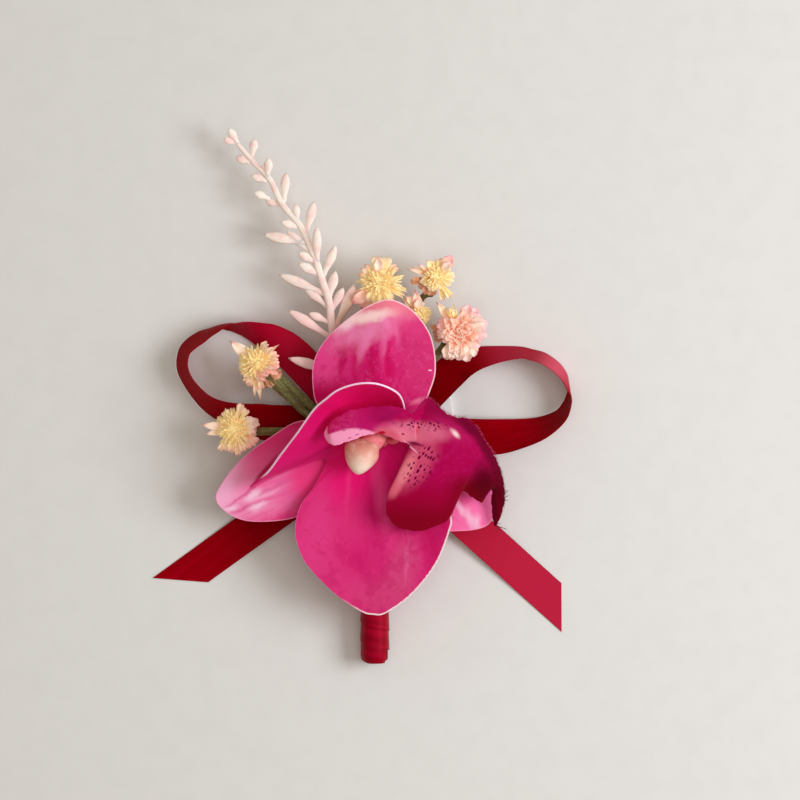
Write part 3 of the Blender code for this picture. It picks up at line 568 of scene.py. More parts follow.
# The upper sepal: dark stripes, a pale left side, a duller right side.
tone = over(shade(212, 28, 108), shade(202, 16, 96), streak)
tone = paint(tone, where, [
    ((222, 62, 132), both(fine, 0.35)),
    ((234, 72, 140), (-12.5, 22.5), (4.6, 10.0), -16, 0.7, 2.0, 0.85),
    ((206, 50, 108), (12.0, 22.0), (6.5, 12.0), 10, 0.6, 2.0, 0.85),
])
for middle, half, turn in (((-4.6, 22.6), (1.1, 6.6), -6), ((-0.6, 19.6), (1.3, 5.4), -4),
                           ((3.9, 19.4), (1.0, 4.8), 4),
                           ((-8.6, 21.0), (0.9, 4.6), -14)):
    tone = paint(tone, where, [((196, 8, 84), middle, half, turn, 0.8, 2.4, 0.85)])
tone = paint(tone, where, [
    ((196, 14, 84), both(band(y, 17.0, 12.0), band(x, 8.0, 2.0))),
    ((224, 82, 140), both(band(mottle, 0.5, 0.68), 0.42)),
    ((186, 14, 84), both(band(smear, 0.54, 0.64), 0.35)),
])

# Its tip: salmon, with a cream blotch that runs down in smears.
tone = paint(tone, where, [
    ((218, 62, 120), (8.5, 31.5), (6.0, 3.6), -30, 0.8, 3.0, 0.8),
    ((238, 130, 144), (2.0, 36.0), (9.5, 3.2), -8, 0.7, 3.0, 0.95),
    ((240, 140, 178), (-2.0, 28.6), (8.0, 2.8), 22, 0.9, 4.5, 0.8),
])
for middle, half, turn, strength in (
    ((-2.0, 26.4), (1.0, 4.6), -20, 0.75), ((2.4, 25.4), (0.8, 3.4), -6, 0.4),
    ((-6.2, 28.0), (0.9, 2.8), -14, 0.6),
    ((2.8, 31.4), (0.8, 2.2), 27, 0.8), ((-3.8, 23.6), (0.7, 3.8), -12, 0.35),
    ((5.8, 27.5), (0.8, 2.8), 8, 0.3),
):
    tone = paint(tone, where, [((240, 130, 178), middle, half, turn, 0.9, 2.4, strength)])
tone = paint(tone, where, [
    ((255, 204, 216), (-7.2, 31.0), (3.8, 1.7), 36, 0.8, 3.0, 0.95),
    ((255, 218, 208), (-1.6, 32.3), (5.4, 1.4), 12, 0.7, 2.6, 0.95),
    ((252, 190, 208), (14.5, 18.3), (0.5, 0.2), -4, 0.3, 0.1),
    ((238, 130, 160), (11.2, 10.4), (1.7, 0.6), 24, 0.8, 1.6, 0.7),
])

# The left sepal: pale pink at its tip, with white flashes and darker lines between them.
left_half = band(x, -12.0, -17.0)
below = band(y, 6.0, 2.0)
left_lobe = both(left_half, below)
tone = paint(tone, where, [
    ((234, 58, 126), left_lobe),
    ((250, 108, 162), (-31.0, -11.0), (9.5, 6.5), 38, 0.6, 2.0, both(left_lobe, 0.85)),
    ((255, 176, 210), both(band(x, -30.0, -40.0), left_lobe)),
    ((244, 116, 166), (-28.0, -15.4), (9.5, 4.6), 26, 0.6, 3.0, both(left_lobe, 0.95)),
])
lengthways = sepal.streaks(sepal.place((6.0, -2.0, 0.0)), 20.0, 0.04)
tone = paint(tone, where, [
    ((255, 180, 210), (-31.0, -15.6), (9.0, 4.4), 30, 0.8, 2.0, both(lengthways, 0.75)),
    ((226, 84, 144), (-19.5, -13.0), (5.6, 7.0), 30, 0.7, 2.0, both(left_lobe, 0.7)),
])
for middle, half, turn in (((-35.5, -15.1), (4.2, 0.4), 36), ((-33.0, -17.4), (5.0, 0.4), 22),
                           ((-26.5, -12.4), (5.0, 0.5), 24)):
    tone = paint(tone, where, [((222, 88, 148), middle, half, turn, 0.8, 1.4, 0.7)])
for middle, half, turn in (((-32.0, -14.5), (2.1, 0.8), 38), ((-30.6, -17.2), (2.1, 0.75), 22),
                           ((-37.6, -17.9), (1.8, 0.6), 20)):
    tone = paint(tone, where, [((255, 206, 226), middle, half, turn, 0.9, 1.6, 0.9)])
# Painted light: a paler oval beside the lower petal's edge, where its shade falls. Painted shadow: a dark
# sliver under the cupped petal's rim.
tone = paint(tone, where, [
    ((240, 58, 126), (-17.0, -10.5), (4.5, 7.5), 20, 0.6, 1.0, 0.85),
    ((184, 20, 76), (-28.9, -8.4), (5.4, 0.8), 51, 0.6, 0.5, 0.9),
])

# The right sepal: pale, with white flashes.
right_lobe = spot(where, (26.0, -17.5), (12.0, 10.0), 0, 0.4)
tone = paint(tone, where, [
    ((255, 118, 173), right_lobe),
    ((238, 88, 148), both(right_lobe, both(fine, 0.4))),
    ((234, 76, 140), (23.0, -15.0), (2.6, 1.8), -10, 0.7, 1.6, 0.7),
])
for middle, half, turn in (((24.9, -20.6), (0.9, 2.6), 20), ((26.8, -21.6), (0.9, 1.9), 12),
                           ((22.6, -18.0), (0.7, 1.9), 24)):
    tone = paint(tone, where, [((255, 196, 220), middle, half, turn, 0.9, 1.8, 0.85)])

cut_gap = sepal.own("from_cut")
tone = paint(tone, where, [((250, 160, 190), both(band(cut_gap, 0.36, 0.16), 0.85))])
cream_side = band(sepal.math("ADD", sepal.math("MULTIPLY", x, 0.7), sepal.math("MULTIPLY", y, 0.7)), 10.0,
                  18.0)
tone = paint(tone, where, [((255, 208, 210), both(band(cut_gap, 0.44, 0.22), cream_side))])
sepal.relief(sepal.math("ADD", fine, mottle), 0.04, 0.4)
sepal_print = sepal.done(tone)

# %% Petal print
petal = deep_print("petal_print", 0.55, **through_light(0.18, (1.0, 0.12, 0.4), 0.8))
spot, band, both, over, paint = petal.brushes()
where = petal.place()
x, y, _ = petal.parts(where)
throat = petal.place((-0.8, 1.0, 0.0))
streak = petal.streaks(throat, 6.0, 0.03)
fine = petal.streaks(throat, 16.0, 0.08)
mottle = petal.noise(where, 0.5, 5.0, 0.7)
smudge = petal.noise(where, 0.2, 3.0, 0.6)

# The lower petal: deep at the throat and on the right, pinker on the left, with a hazy patch.
tone = over(shade(218, 18, 104), shade(208, 12, 98), streak)
tone = paint(tone, where, [
    ((222, 40, 116), both(band(y, -17.0, -28.0), 0.9)),
    ((226, 62, 130), (-15.5, -25.0), (6.0, 15.0), -6, 0.7, 3.0, 0.85),
    ((222, 58, 124), (-9.0, -37.0), (6.0, 6.0), 0, 0.7, 3.0, 0.7),
    ((212, 34, 108), (-3.0, -29.0), (5.0, 8.0), 10, 0.7, 5.0, 0.7),
    ((214, 64, 118), (2.5, -41.0), (9.0, 5.0), 0, 0.6, 2.0, 0.8),
    ((216, 74, 124), (7.4, -33.0), (4.2, 8.0), -16, 0.6, 4.0, 0.75),
    ((200, 16, 90), (16.5, -24.0), (4.6, 9.0), 16, 0.6, 3.0, 0.9),
    # Painted light: a paler strip along the pressed ridge, where the lip's shade falls on the lower petal.
    ((240, 70, 138), (2.0, -15.5), (1.9, 10.5), 9, 0.8, 1.0, 0.85),
    ((226, 108, 150), (8.3, -31.0), (0.4, 5.6), -4, 0.8, 1.8, 0.6),
    ((228, 76, 142), both(fine, 0.14)),
    ((198, 16, 92), both(both(band(smudge, 0.5, 0.6), band(y, -14.0, -20.0)), 0.35)),
    ((190, 8, 84), both(band(mottle, 0.54, 0.72), 0.25)),
    # Painted light from here on: paler ovals where the bead and the lip shade the lower petal, and a thin
    # pale line that is a painted highlight along a fold.
    ((234, 20, 112), (-7.0, -10.5), (5.0, 7.5), 0, 0.8, 1.0, 0.85),
    ((236, 70, 136), (-7.0, -12.5), (0.6, 8.6), -5, 0.9, 0.8, 0.35),
    ((228, 56, 124), (-6.6, -21.5), (3.4, 6.0), 0, 0.8, 2.0, 0.6),
    ((232, 18, 112), (5.0, -7.0), (3.4, 5.0), 0, 0.8, 1.0, 0.8),
])

# The cupped petal: crimson inside, streaked and paler towards its left corner.
cup = band(petal.math("ADD", y, petal.math("MULTIPLY", x, -0.55)), 2.0, 6.0)
tone = paint(tone, where, [
    ((216, 14, 102), cup),
    # Painted light: the two bright ovals lift the shade inside the cup.
    ((250, 16, 106), (-1.0, 10.6), (10.5, 5.4), 4, 0.7, 1.0, 0.95),
    ((246, 18, 106), (-6.4, 4.0), (5.4, 4.4), 0, 0.8, 1.0, 0.9),
    ((224, 34, 116), both(both(spot(where, (-20.0, -3.0), (9.0, 4.5), 42, 0.7), fine), 0.6)),
])
fold = spot(where, (-21.6, -7.6), (9.2, 2.3), 21, 0.5, 1.2)
tone = paint(tone, where, [
    ((206, 34, 106), both(fold, 0.85)),
    ((240, 108, 158), (-25.0, -9.5), (6.4, 0.6), 22, 0.8, 0.6, 0.7),
    ((200, 24, 98), (-17.6, -4.4), (5.6, 4.0), 24, 0.7, 1.0, 0.7),
])

cut_gap = petal.own("from_cut")
slope = petal.math("SUBTRACT", petal.math("MULTIPLY", x, 0.8), petal.math("MULTIPLY", y, 0.6))
lower_right = both(band(slope, 16.0, 28.0), band(y, -16.0, -22.0))
low_half = band(y, -13.0, -17.0)
tone = paint(tone, where, [
    ((240, 128, 172), both(both(band(cut_gap, 0.22, 0.06), 0.8), low_half)),
    ((255, 226, 226), both(band(cut_gap, 0.5, 0.3), lower_right)),
])
upper_edge = band(petal.math("ADD", y, petal.math("MULTIPLY", x, -0.95)), -1.0, 2.0)
above_notch = band(petal.math("SUBTRACT", y, petal.math("MULTIPLY", x, 0.35)), 0.3, 1.2)
tone = paint(tone, where, [((255, 214, 234), both(band(cut_gap, 0.32, 0.16), both(upper_edge, above_notch)))])
petal.relief(petal.math("ADD", fine, mottle), 0.04, 0.35)
petal_print = petal.done(tone)

# %% Backs and cut edges
back = Finish("petal_back", 0.65)
where = back.place()
veins = back.streaks(where, 18.0, 0.08)
tone = back.over(shade(206, 54, 122), shade(222, 96, 150), back.both(veins, 0.6))
back.relief(veins, 0.05, 0.4)
petal_back = back.done(tone)

core = Finish("foam_core", 0.7, **through_light(0.5, (1.0, 0.7, 0.8), 0.8))
where = core.place()
pores = core.noise(where, 3.0, 4.0, 0.7)
tone = core.over(shade(255, 228, 240), shade(255, 206, 226), core.band(pores, 0.4, 0.7))
# In the notch between the two petals the print's dye has run over the cut.
notch = core.spot(where, (-21.6, -9.9), (12.6, 4.8), 22, 0.25, 0.2)
tone = core.over(tone, shade(224, 60, 128), notch)
core.relief(pores, 0.04, 0.5)
foam_core = core.done(tone)

coat(sepals, sepal_print, petal_back, foam_core)
hand_over(sepals, "sepals")
coat(petals, petal_print, petal_back, foam_core)
hand_over(petals, "petals")

# %% [markdown]
# ## The lip
#
# The lip is a piece of printed fabric, starched and pressed. One lobe arches over the column like a peaked
# cap, the throat is salmon with purple dashes, and the front lobe rolls down to a frayed point. It is laid
# between two rails, its upper and lower edge, with a bulge between them where the die pushed it.

# %% The lip's rails
LIP_RAILS = [
    ((-13.1, 1.9, 25.5), (-12.9, 0.8, 25.3)), ((-11.7, 4.5, 26.0), (-11.2, -1.1, 25.8)),
    ((-9.3, 6.3, 26.5), (-8.4, -0.7, 26.2)), ((-6.3, 7.8, 27.0), (-4.7, 0.6, 26.4)),
    ((-1.3, 8.6, 27.0), (-1.1, 1.7, 26.2)), ((2.6, 8.9, 26.8), (1.8, 1.8, 25.4)),
    ((6.3, 8.7, 26.4), (5.2, 0.3, 24.2)), ((8.7, 7.5, 25.8), (8.6, -0.8, 23.1)),
    ((10.0, 7.0, 25.4), (11.0, -2.9, 22.7)), ((11.6, 8.8, 25.3), (9.5, -4.3, 22.6)),
    ((13.9, 11.1, 24.6), (6.9, -7.7, 22.4)), ((16.4, 8.9, 24.8), (3.4, -14.6, 22.8)),
    ((18.6, 7.2, 25.0), (3.4, -20.0, 22.6)), ((20.8, 6.1, 25.0), (7.0, -23.0, 22.0)),
    ((24.0, 5.7, 24.6), (12.0, -23.6, 21.4)), ((26.6, 3.4, 23.6), (17.3, -21.8, 20.8)),
    ((27.9, 1.0, 22.8), (19.6, -20.0, 20.5)), ((29.3, -1.0, 22.0), (21.3, -16.0, 20.0)),
    ((30.5, -2.9, 21.4), (22.8, -13.2, 19.6)), ((31.5, -4.7, 20.8), (25.2, -14.6, 18.8)),
    ((32.5, -6.9, 20.1), (27.7, -16.2, 17.6)), ((33.2, -9.1, 19.3), (28.9, -14.6, 17.4)),
    ((33.7, -11.6, 18.4), (29.7, -12.7, 17.4)), ((33.9, -13.8, 17.5), (30.7, -12.8, 17.0)),
    ((33.9, -16.0, 16.6), (30.6, -15.8, 15.8)), ((33.2, -19.0, 15.2), (30.8, -19.0, 14.6)),
    ((31.9, -22.4, 13.6), (31.3, -22.4, 13.4)),
]
LIP_BULGE = [(0, 0.0), (1, 1.0), (8, 0.4), (10, -0.2), (14, 0.2), (18, 1.2), (22, 0.9), (26, 0.0)]
LIP_THICKNESS = 0.35
upper_rail = smooth_through([rail[0] for rail in LIP_RAILS], 10)
lower_rail = smooth_through([rail[1] for rail in LIP_RAILS], 10)


def lay_lip(u, v):
    """A point of the lip, u along its rails and v from the upper to the lower one."""
    high, low = Vector(on_line(upper_rail, u)), Vector(on_line(lower_rail, u))
    places, bulges = zip(*LIP_BULGE)
    push = float(np.interp(u * (len(LIP_RAILS) - 1), places, bulges))
    rough = 0.10 * math.sin(131 * u) + 0.07 * math.sin(277 * u + 1.0) + 0.05 * math.sin(611 * u)
    share = v + rough / max((low - high).length, 2.0) * (1 if v > 0.5 else -1) * abs(2 * v - 1) ** 6
    point = high.lerp(low, share)
    return at(point.x, point.y, point.z + push * 4 * v * (1 - v))


lip = lay_grid("orchid_lip", 312, 30, lay_lip)
face_up(lip)
thicken(lip, LIP_THICKNESS, 0.0, back=1)
smooth(lip, 60)

# %% [markdown]
# The cut edge of the fabric frays. Fibres are modelled once, as one tapering hair, and copied along the
# right edge with seeded angles and lengths. A few long loose threads hang at the point.

# %% Frayed edge
def copies(template, matrices):
    """Copies of a small template, each with a mesh of its own."""
    made = []
    for matrix in matrices:
        twin = template.copy()
        twin.data = template.data.copy()
        twin.data.transform(matrix)
        bpy.context.scene.collection.objects.link(twin)
        made.append(twin)
    return made


def stand(origin, ahead, up, width, length, depth=None):
    """The matrix that stands a template, which points along +Y with its face up, at a place."""
    ahead = ahead.normalized()
    side = ahead.cross(up).normalized()
    face = side.cross(ahead)
    turn = Matrix((side, ahead, face)).transposed().to_4x4()
    return Matrix.Translation(origin) @ turn @ Matrix.Diagonal((width, length, depth or width, 1.0))


def lay_hair(u, v):
    """A tapering hair, 1 long and 1 thick, that bends a little."""
    angle = math.tau * u
    radius = 0.5 * math.sqrt(max(1 - v, 0.0)) * min(1.0, v * 8 + 0.2) if v > 0 else 0.0
    return Vector((radius * math.cos(angle) + 0.9 * v * v, v, radius * math.sin(angle)))


hair = lay_grid("hair", 4, 5, lay_hair)
edit(hair, outward)
seed = random.Random(11)
FIBRES, FRAY_START, FRAY_RUN = 330, 0.335, 0.64
FIBRE_WIDTH, THREAD_WIDTH = 0.09, 0.2
fringe = []
for index in range(FIBRES):
    share = FRAY_START + FRAY_RUN * (index + seed.random()) / FIBRES
    root = Vector(on_line(upper_rail, share))
    ahead = Vector(on_line(upper_rail, min(share + 0.01, 1))) - Vector(on_line(upper_rail, share - 0.01))
    out = Vector((ahead.y, -ahead.x, 0)).normalized()
    if out.x + out.y < 0:
        out = -out
    out = out + ahead.normalized() * seed.uniform(-0.9, 0.9) + Vector((0, 0, seed.uniform(-0.3, 0.5)))
    out = out.normalized()
    length = seed.uniform(0.3, 0.9) * (1.0 if share < 0.75 else 0.7)
    fringe.append(stand(at(*root), out, Vector((0, 0, 1)), FIBRE_WIDTH * MM, length * MM))
LOOSE_THREADS = [
    ((31.6, -22.4, 13.6), (0.9, -0.25, 0.05), 3.6), ((31.8, -22.7, 13.5), (0.8, -0.1, 0.1), 2.8),
    ((31.5, -22.9, 13.4), (0.9, -0.45, 0.0), 2.2), ((31.0, -22.0, 13.6), (0.9, 0.1, 0.1), 2.4),
    ((33.9, -14.2, 17.2), (0.7, 0.8, 0.1), 1.7), ((33.9, -15.0, 17.0), (0.9, 0.5, 0.0), 1.5),
    ((33.8, -15.8, 16.8), (0.9, 0.2, 0.0), 1.3), ((33.7, -13.4, 17.6), (0.9, 0.4, 0.2), 1.2),
    ((13.6, 10.8, 24.7), (0.2, 0.9, 0.1), 1.6), ((12.6, 9.8, 24.9), (-0.5, 0.9, 0.1), 1.4),
]
for root, way, length in LOOSE_THREADS:
    fringe.append(stand(at(*root), Vector(way), Vector((0, 0, 1)), THREAD_WIDTH * MM, length * MM))
fringe = join("lip_fringe", copies(hair, fringe))

# %% The lip's foot
RING_MIDDLE = (1.0, 0.4, 17.9)
NEARLY_UP = Vector((0.12, 0.07, 1))


def lay_tube(line, radii, groove=0.0, grooves=0):
    """A way of laying a grid as a round stem along a line, closed to a point at both ends."""
    line = np.array(line, dtype=float)

    def lay(u, v):
        here = Vector(on_line(line, v))
        ahead = Vector(on_line(line, min(v + 0.01, 1))) - Vector(on_line(line, max(v - 0.01, 0)))
        side = ahead.cross(NEARLY_UP).normalized()
        up = side.cross(ahead).normalized()
        angle = math.tau * u
        radius = float(np.interp(v, np.linspace(0, 1, len(radii)), radii))
        radius *= 1 - groove * (0.5 + 0.5 * math.cos(angle * grooves))
        if v in (0.0, 1.0):
            radius = 0.0
        point = here + (side * math.cos(angle) + up * math.sin(angle)) * radius
        return at(*point)

    return lay


foot_line = smooth_through([(3.1, 0.0, 17.9), (4.6, -0.3, 19.4), (6.0, 0.4, 21.8), (7.6, 2.4, 24.6)], 4)
lip_foot = lay_round("lip_foot", 12, 24, lay_tube(foot_line, [0.8, 0.8, 0.8]))
lip_ring = add("torus", "lip_ring", major_segments=40, minor_segments=12, major_radius=2.2 * MM,
               minor_radius=0.5 * MM, location=at(*RING_MIDDLE))
smooth(lip_ring)
smooth(fringe)

# %% [markdown]
# ### The print on the lip
#
# The front lobe is magenta that darkens to crimson at the foot and to maroon on the folded side. The cap is
# magenta with a pale pink band along its lower edge. The throat is salmon, with two drifts of purple dashes
# that point into it and one small white patch.

# %% Lip print
lip_paint = deep_print("lip_print", 0.62)
where = lip_paint.place()
x, y, _ = lip_paint.parts(where)
u, v = lip_paint.along()
spot, band, both, over, paint = lip_paint.brushes()
mottle = lip_paint.noise(where, 0.9, 5.0, 0.7)
right_rim = band(lip_paint.math("ADD", x, lip_paint.math("MULTIPLY", y, 0.9)), 25.0, 29.0)

# The front lobe: magenta above, crimson at its foot, and nearly black where it folds on the right.
tone = over(shade(170, 2, 70), shade(180, 14, 86), band(mottle, 0.45, 0.7))
tone = paint(tone, where, [
    ((156, 0, 50), band(y, -8.0, -15.0)),
    ((126, 0, 20), band(y, -13.5, -21.0)),
    ((122, 0, 16), both(band(x, 16.0, 24.0), band(y, -7.0, -12.5))),
    ((150, 10, 62), (20.5, 7.0), (9.0, 2.8), -24, 0.6),
    ((184, 30, 94), (19.5, 2.6), (5.0, 2.2), -30, 0.7, 1.0, 0.7),
    ((100, 0, 32), (24.4, 3.6), (4.6, 1.5), -44, 0.7, 1.4, 0.85),
    ((92, 0, 24), (29.8, -2.8), (7.0, 1.7), -58, 0.6, 1.0, 0.9),
    ((78, 0, 12), (29.0, -10.6), (3.4, 4.6), 0, 0.9, 1.6, 0.9),
])
strip = band(lip_paint.math("ADD", x, lip_paint.math("MULTIPLY", y, 0.22)), 28.3, 29.6)
tone = paint(tone, where, [
    ((92, 0, 22), both(strip, band(y, -4.0, -9.0))),
    ((92, 0, 20), (31.2, -19.5), (1.7, 4.6), 6, 0.5, 0.4, 0.9),
])

# The cap over the column.
cap = both(band(x, 6.5, 3.5), band(y, -4.0, -2.6))
tone = paint(tone, where, [
    ((184, 18, 94), cap),
    ((206, 56, 120), both(both(cap, band(mottle, 0.36, 0.7)), band(x, -2.0, -9.0))),
    ((160, 10, 78), both(both(cap, band(x, -3.5, 1.0)), band(v, 0.62, 0.5))),
    ((150, 8, 72), (3.6, 6.2), (3.4, 0.9), 28, 0.7, 0.8, 0.7),
])
along_cap = lip_paint.math("DIVIDE", lip_paint.math("ADD", x, 12.5), 12.5, clamp=True)
climb = lip_paint.math("MULTIPLY", lip_paint.math("POWER", along_cap, 2.0), 0.47)
from_edge = lip_paint.math("SUBTRACT", v, climb)
pale_edge = both(band(from_edge, 0.44, 0.54), both(band(x, 1.5, 0.0), band(y, -4.0, -2.6)))
tone = paint(tone, where, [
    ((250, 156, 190), pale_edge),
    ((252, 168, 198), band(u, 0.032, 0.016)),
])

# The throat: pink above, salmon along the lobe's left edge.
tone = paint(tone, where, [
    ((222, 104, 134), (10.4, 2.0), (8.6, 2.9), -3, 0.4, 1.6),
    ((236, 122, 142), (7.6, 1.0), (4.8, 1.4), -8, 0.6, 1.0, 0.85),
    ((206, 74, 108), (10.8, -6.0), (3.6, 7.6), -36, 0.5, 1.8, 0.95),
    ((236, 130, 140), (7.6, -8.6), (1.5, 5.6), -30, 0.6, 1.0, 0.9),
    ((224, 92, 114), (4.8, -12.4), (1.6, 2.2), -20, 0.8, 1.0, 0.8),
    ((216, 90, 112), (3.4, 1.4), (3.2, 1.5), -20, 0.4, 0.6),
])

dash = lip_paint.group("dye_dashes", Place=where, Spacing=0.9, Turn=math.radians(48), Slimness=1.7, Size=0.44)
drift = spot(where, (12.4, 4.0), (7.0, 1.3), -4, 0.3, 1.6)
tone = paint(tone, where, [((100, 2, 54), both(dash["Mask"], drift))])
dash = lip_paint.group("dye_dashes", Place=where, Spacing=0.62, Turn=math.radians(-56), Slimness=1.8,
                       Size=0.44)
drift = spot(where, (12.6, -6.4), (3.3, 6.8), -36, 0.3, 1.4)
tone = paint(tone, where, [((112, 0, 50), both(dash["Mask"], both(drift, band(x, 20.0, 14.0))))])
for middle in ((-8.0, 2.6), (-3.6, 2.9), (-4.6, 1.5), (-6.5, 0.6)):
    tone = paint(tone, where, [((170, 54, 110), middle, (0.5, 0.16), 20, 0.5, 0.3, 0.8)])
tone = paint(tone, where, [
    ((194, 6, 44), (1.8, 2.0), (1.0, 0.42), 0, 0.3, 0.2),
    ((240, 178, 186), (20.9, 1.8), (1.5, 0.66), -48, 0.5, 0.6, 0.85),
    ((252, 228, 214), (21.0, 1.7), (0.8, 0.3), -48, 0.6, 0.4, 0.8),
])

# The corner under the cap: a dark fold, which is painted shade where the fabric tucks under the cap, and a
# white edge.
tone = paint(tone, where, [
    ((120, 10, 62), (10.6, -0.9), (1.9, 0.42), -14, 0.5, 0.3, 0.9),
    ((252, 184, 208), (9.4, -1.7), (2.1, 0.2), -42, 0.6, 0.2, 0.9),
])
weave = lip_paint.noise(where, 5.0, 2.0, 0.6)
lip_paint.relief(lip_paint.math("ADD", weave, mottle), 0.06, 0.6)
lip_print = lip_paint.done(tone)

under = Finish("lip_back", 0.7)
where = under.place()
mottle = under.noise(where, 1.2, 4.0, 0.7)
tone = under.over(shade(150, 8, 62), shade(176, 30, 92), under.band(mottle, 0.4, 0.7))
tone = under.over(tone, shade(232, 104, 118), under.spot(where, (4.2, -0.2), (3.6, 1.7), -15, 0.5, 0.6))
under.relief(mottle, 0.05, 0.5)
lip_back = under.done(tone)

fray = Finish("frayed_fibre", 0.7)
where = fray.place()
_, y, _ = fray.parts(where)
tuft = fray.noise(where, 1.5, 2.0, 0.5)
tone = fray.over(shade(216, 84, 132), shade(168, 20, 78), fray.band(tuft, 0.4, 0.6))
tone = fray.over(tone, shade(74, 2, 26), fray.band(y, -3.0, -7.0))
frayed_fibre = fray.done(tone)

coat(lip, lip_print, lip_back)
for part, skin in ((lip_foot, lip_back), (lip_ring, lip_back), (fringe, frayed_fibre)):
    coat(part, skin)
lip = join("orchid_lip", [lip, lip_foot, lip_ring, fringe])
hand_over(lip, "lip")

# %% [markdown]
# ## The column
#
# The cream bead in the middle is moulded plastic, an egg that narrows downwards, peach above and cream at
# its tip, on a salmon neck that comes out of the throat. A ball is added at its size, its lower half is
# drawn to a blunt point, and it is shaded smooth.

# %% Bead, neck and pin
BEAD_MIDDLE = (-3.4, -4.2, 22.0)
BEAD_HALF = (4.4, 4.8, 3.6)
PIN = (1.0, 0.4)
PIN_FOOT = 12.7

bead = add("uv_sphere", "bead", segments=40, ring_count=28, radius=1)
for point in bead.data.vertices:
    share = point.co.y
    point.co.x *= 1 + 0.75 * max(share, 0) ** 2 - 0.4 * max(-share, 0) ** 1.5
    point.co.x -= 0.2 * max(-share, 0) ** 1.5
    point.co = at(*(BEAD_MIDDLE[axis] + BEAD_HALF[axis] * point.co[axis] for axis in range(3)))
smooth(bead)
neck_line = smooth_through([(*PIN, PIN_FOOT), (*PIN, 17.0), (1.2, 0.5, 19.0), (0.4, 0.4, 20.6),
                            (-2.4, -1.6, 21.2)], 6)
neck = lay_round("neck", 24, 40, lay_tube(neck_line, [1.0, 1.0, 1.1, 1.7, 2.4, 2.8, 2.6]))

cream = Finish("bead_plastic", 0.36, Specular_IOR_Level=0.35, **through_light(0.2, (0.9, 0.5, 0.35), 1.5))
where = cream.place()
x, y, _ = cream.parts(where)
cloudy = cream.noise(where, 0.5, 3.0, 0.5)
tone = cream.over(shade(254, 226, 204), shade(224, 154, 132), cream.band(y, -7.8, -2.6))
tone = cream.over(tone, shade(210, 130, 114), cream.band(y, -3.2, -0.4))
sides = cream.band(cream.math("ABSOLUTE", cream.math("ADD", x, 3.9)), 1.8, 4.6)
tone = cream.over(tone, shade(222, 148, 130), cream.both(sides, 0.8))
tone = cream.over(tone, shade(246, 204, 184), cream.both(cream.band(cloudy, 0.45, 0.7), 0.5))
cream.relief(cloudy, 0.03, 0.3)
bead_plastic = cream.done(tone)

salmon = Finish("neck_plastic", 0.5, Specular_IOR_Level=0.2)
where = salmon.place()
cloudy = salmon.noise(where, 0.8, 3.0, 0.5)
tone = salmon.over(shade(236, 128, 128), shade(226, 104, 116), salmon.band(cloudy, 0.4, 0.65))
salmon.relief(cloudy, 0.03, 0.3)
neck_plastic = salmon.done(tone)

coat(bead, bead_plastic)
coat(neck, neck_plastic)
hand_over(join("orchid_column", [bead, neck]), "column")

# %% [markdown]
# ## The bow
#
# The bow is one length of satin ribbon. It is followed from the end of one tail to the other: each strand
# runs straight on behind the flower into a loop, and turns over once as it goes round. The grid is a strip
# nine and a half millimetres wide, laid along that line and leaning as the ribbon leans. The tails are cut
# on a slant. Satin is shiny on its face and dull on its back, so the back takes a finish of its own.

# %% Lay the ribbon
RIBBON_WIDTH = 9.5
RIBBON_THICKNESS = 0.22
PASS_LOW, PASS_MIDDLE, PASS_HIGH = 3.5, 4.4, 5.3
STANDING = 4.9
TAIL_SLANTS, SLANT_REACH = (5.6, 4.3), 12
LOOK_AHEAD = 0.004
RIBBON_LINE = [
    (-51.2, -36.9, 0.15, 0), (-40.0, -28.8, 0.3, 0), (-28.0, -20.2, 1.6, 0), (-17.0, -12.3, 2.9, 0),
    (-8.0, -5.8, PASS_LOW, 0), (0.0, 0.0, PASS_LOW, 0), (8.5, 6.9, PASS_LOW, 0), (19.0, 17.1, 4.8, -20),
    (24.5, 20.7, 5.4, -42), (30.8, 22.3, STANDING, -60), (37.9, 23.0, STANDING, -71),
    (41.2, 22.4, STANDING, -72.5), (44.2, 21.5, STANDING, -71.6), (47.1, 19.6, STANDING, -72.6),
    (48.75, 17.95, STANDING, -74.7), (49.85, 16.25, STANDING, -78), (50.5, 14.0, STANDING, -84.7),
    (50.7, 12.73, STANDING, -90), (50.85, 11.2, STANDING, -98), (50.5, 9.5, STANDING, -103),
    (48.6, 6.2, STANDING, -112.5), (43.7, 3.2, 4.8, -128), (37.6, 1.6, 4.6, -146), (30.8, 0.8, 4.4, -170),
    (21.0, 1.0, PASS_MIDDLE, -180), (9.0, 1.3, PASS_MIDDLE, -180), (0.0, 1.5, PASS_MIDDLE, -180),
    (-9.0, 2.6, PASS_MIDDLE, -180), (-19.7, 4.2, PASS_MIDDLE, -180), (-28.2, 4.6, 4.4, -185),
    (-34.7, 5.8, 4.6, -217), (-40.3, 7.6, 4.8, -236), (-44.7, 10.2, STANDING, -246),
    (-48.6, 14.6, STANDING, -252), (-50.6, 18.9, STANDING, -251.5), (-50.2, 23.0, STANDING, -250.5),
    (-48.4, 25.2, STANDING, -249), (-45.75, 27.0, STANDING, -250), (-43.55, 28.15, STANDING, -256),
    (-41.64, 28.8, STANDING, -262), (-39.94, 29.2, STANDING, -270), (-38.6, 29.4, STANDING, -277),
    (-37.35, 29.5, STANDING, -281.8), (-34.1, 29.1, STANDING, -294), (-30.4, 27.9, STANDING, -309),
    (-26.6, 26.0, 5.2, -332), (-20.8, 21.8, 5.6, -350),
    (-9.0, 9.2, PASS_HIGH, -360), (0.0, 0.0, PASS_HIGH, -360), (8.5, -7.4, PASS_HIGH, -360),
    (17.0, -15.2, 4.2, -360), (28.0, -25.0, 2.2, -360), (39.0, -35.0, 0.5, -360), (49.1, -44.1, 0.15, -360),
]
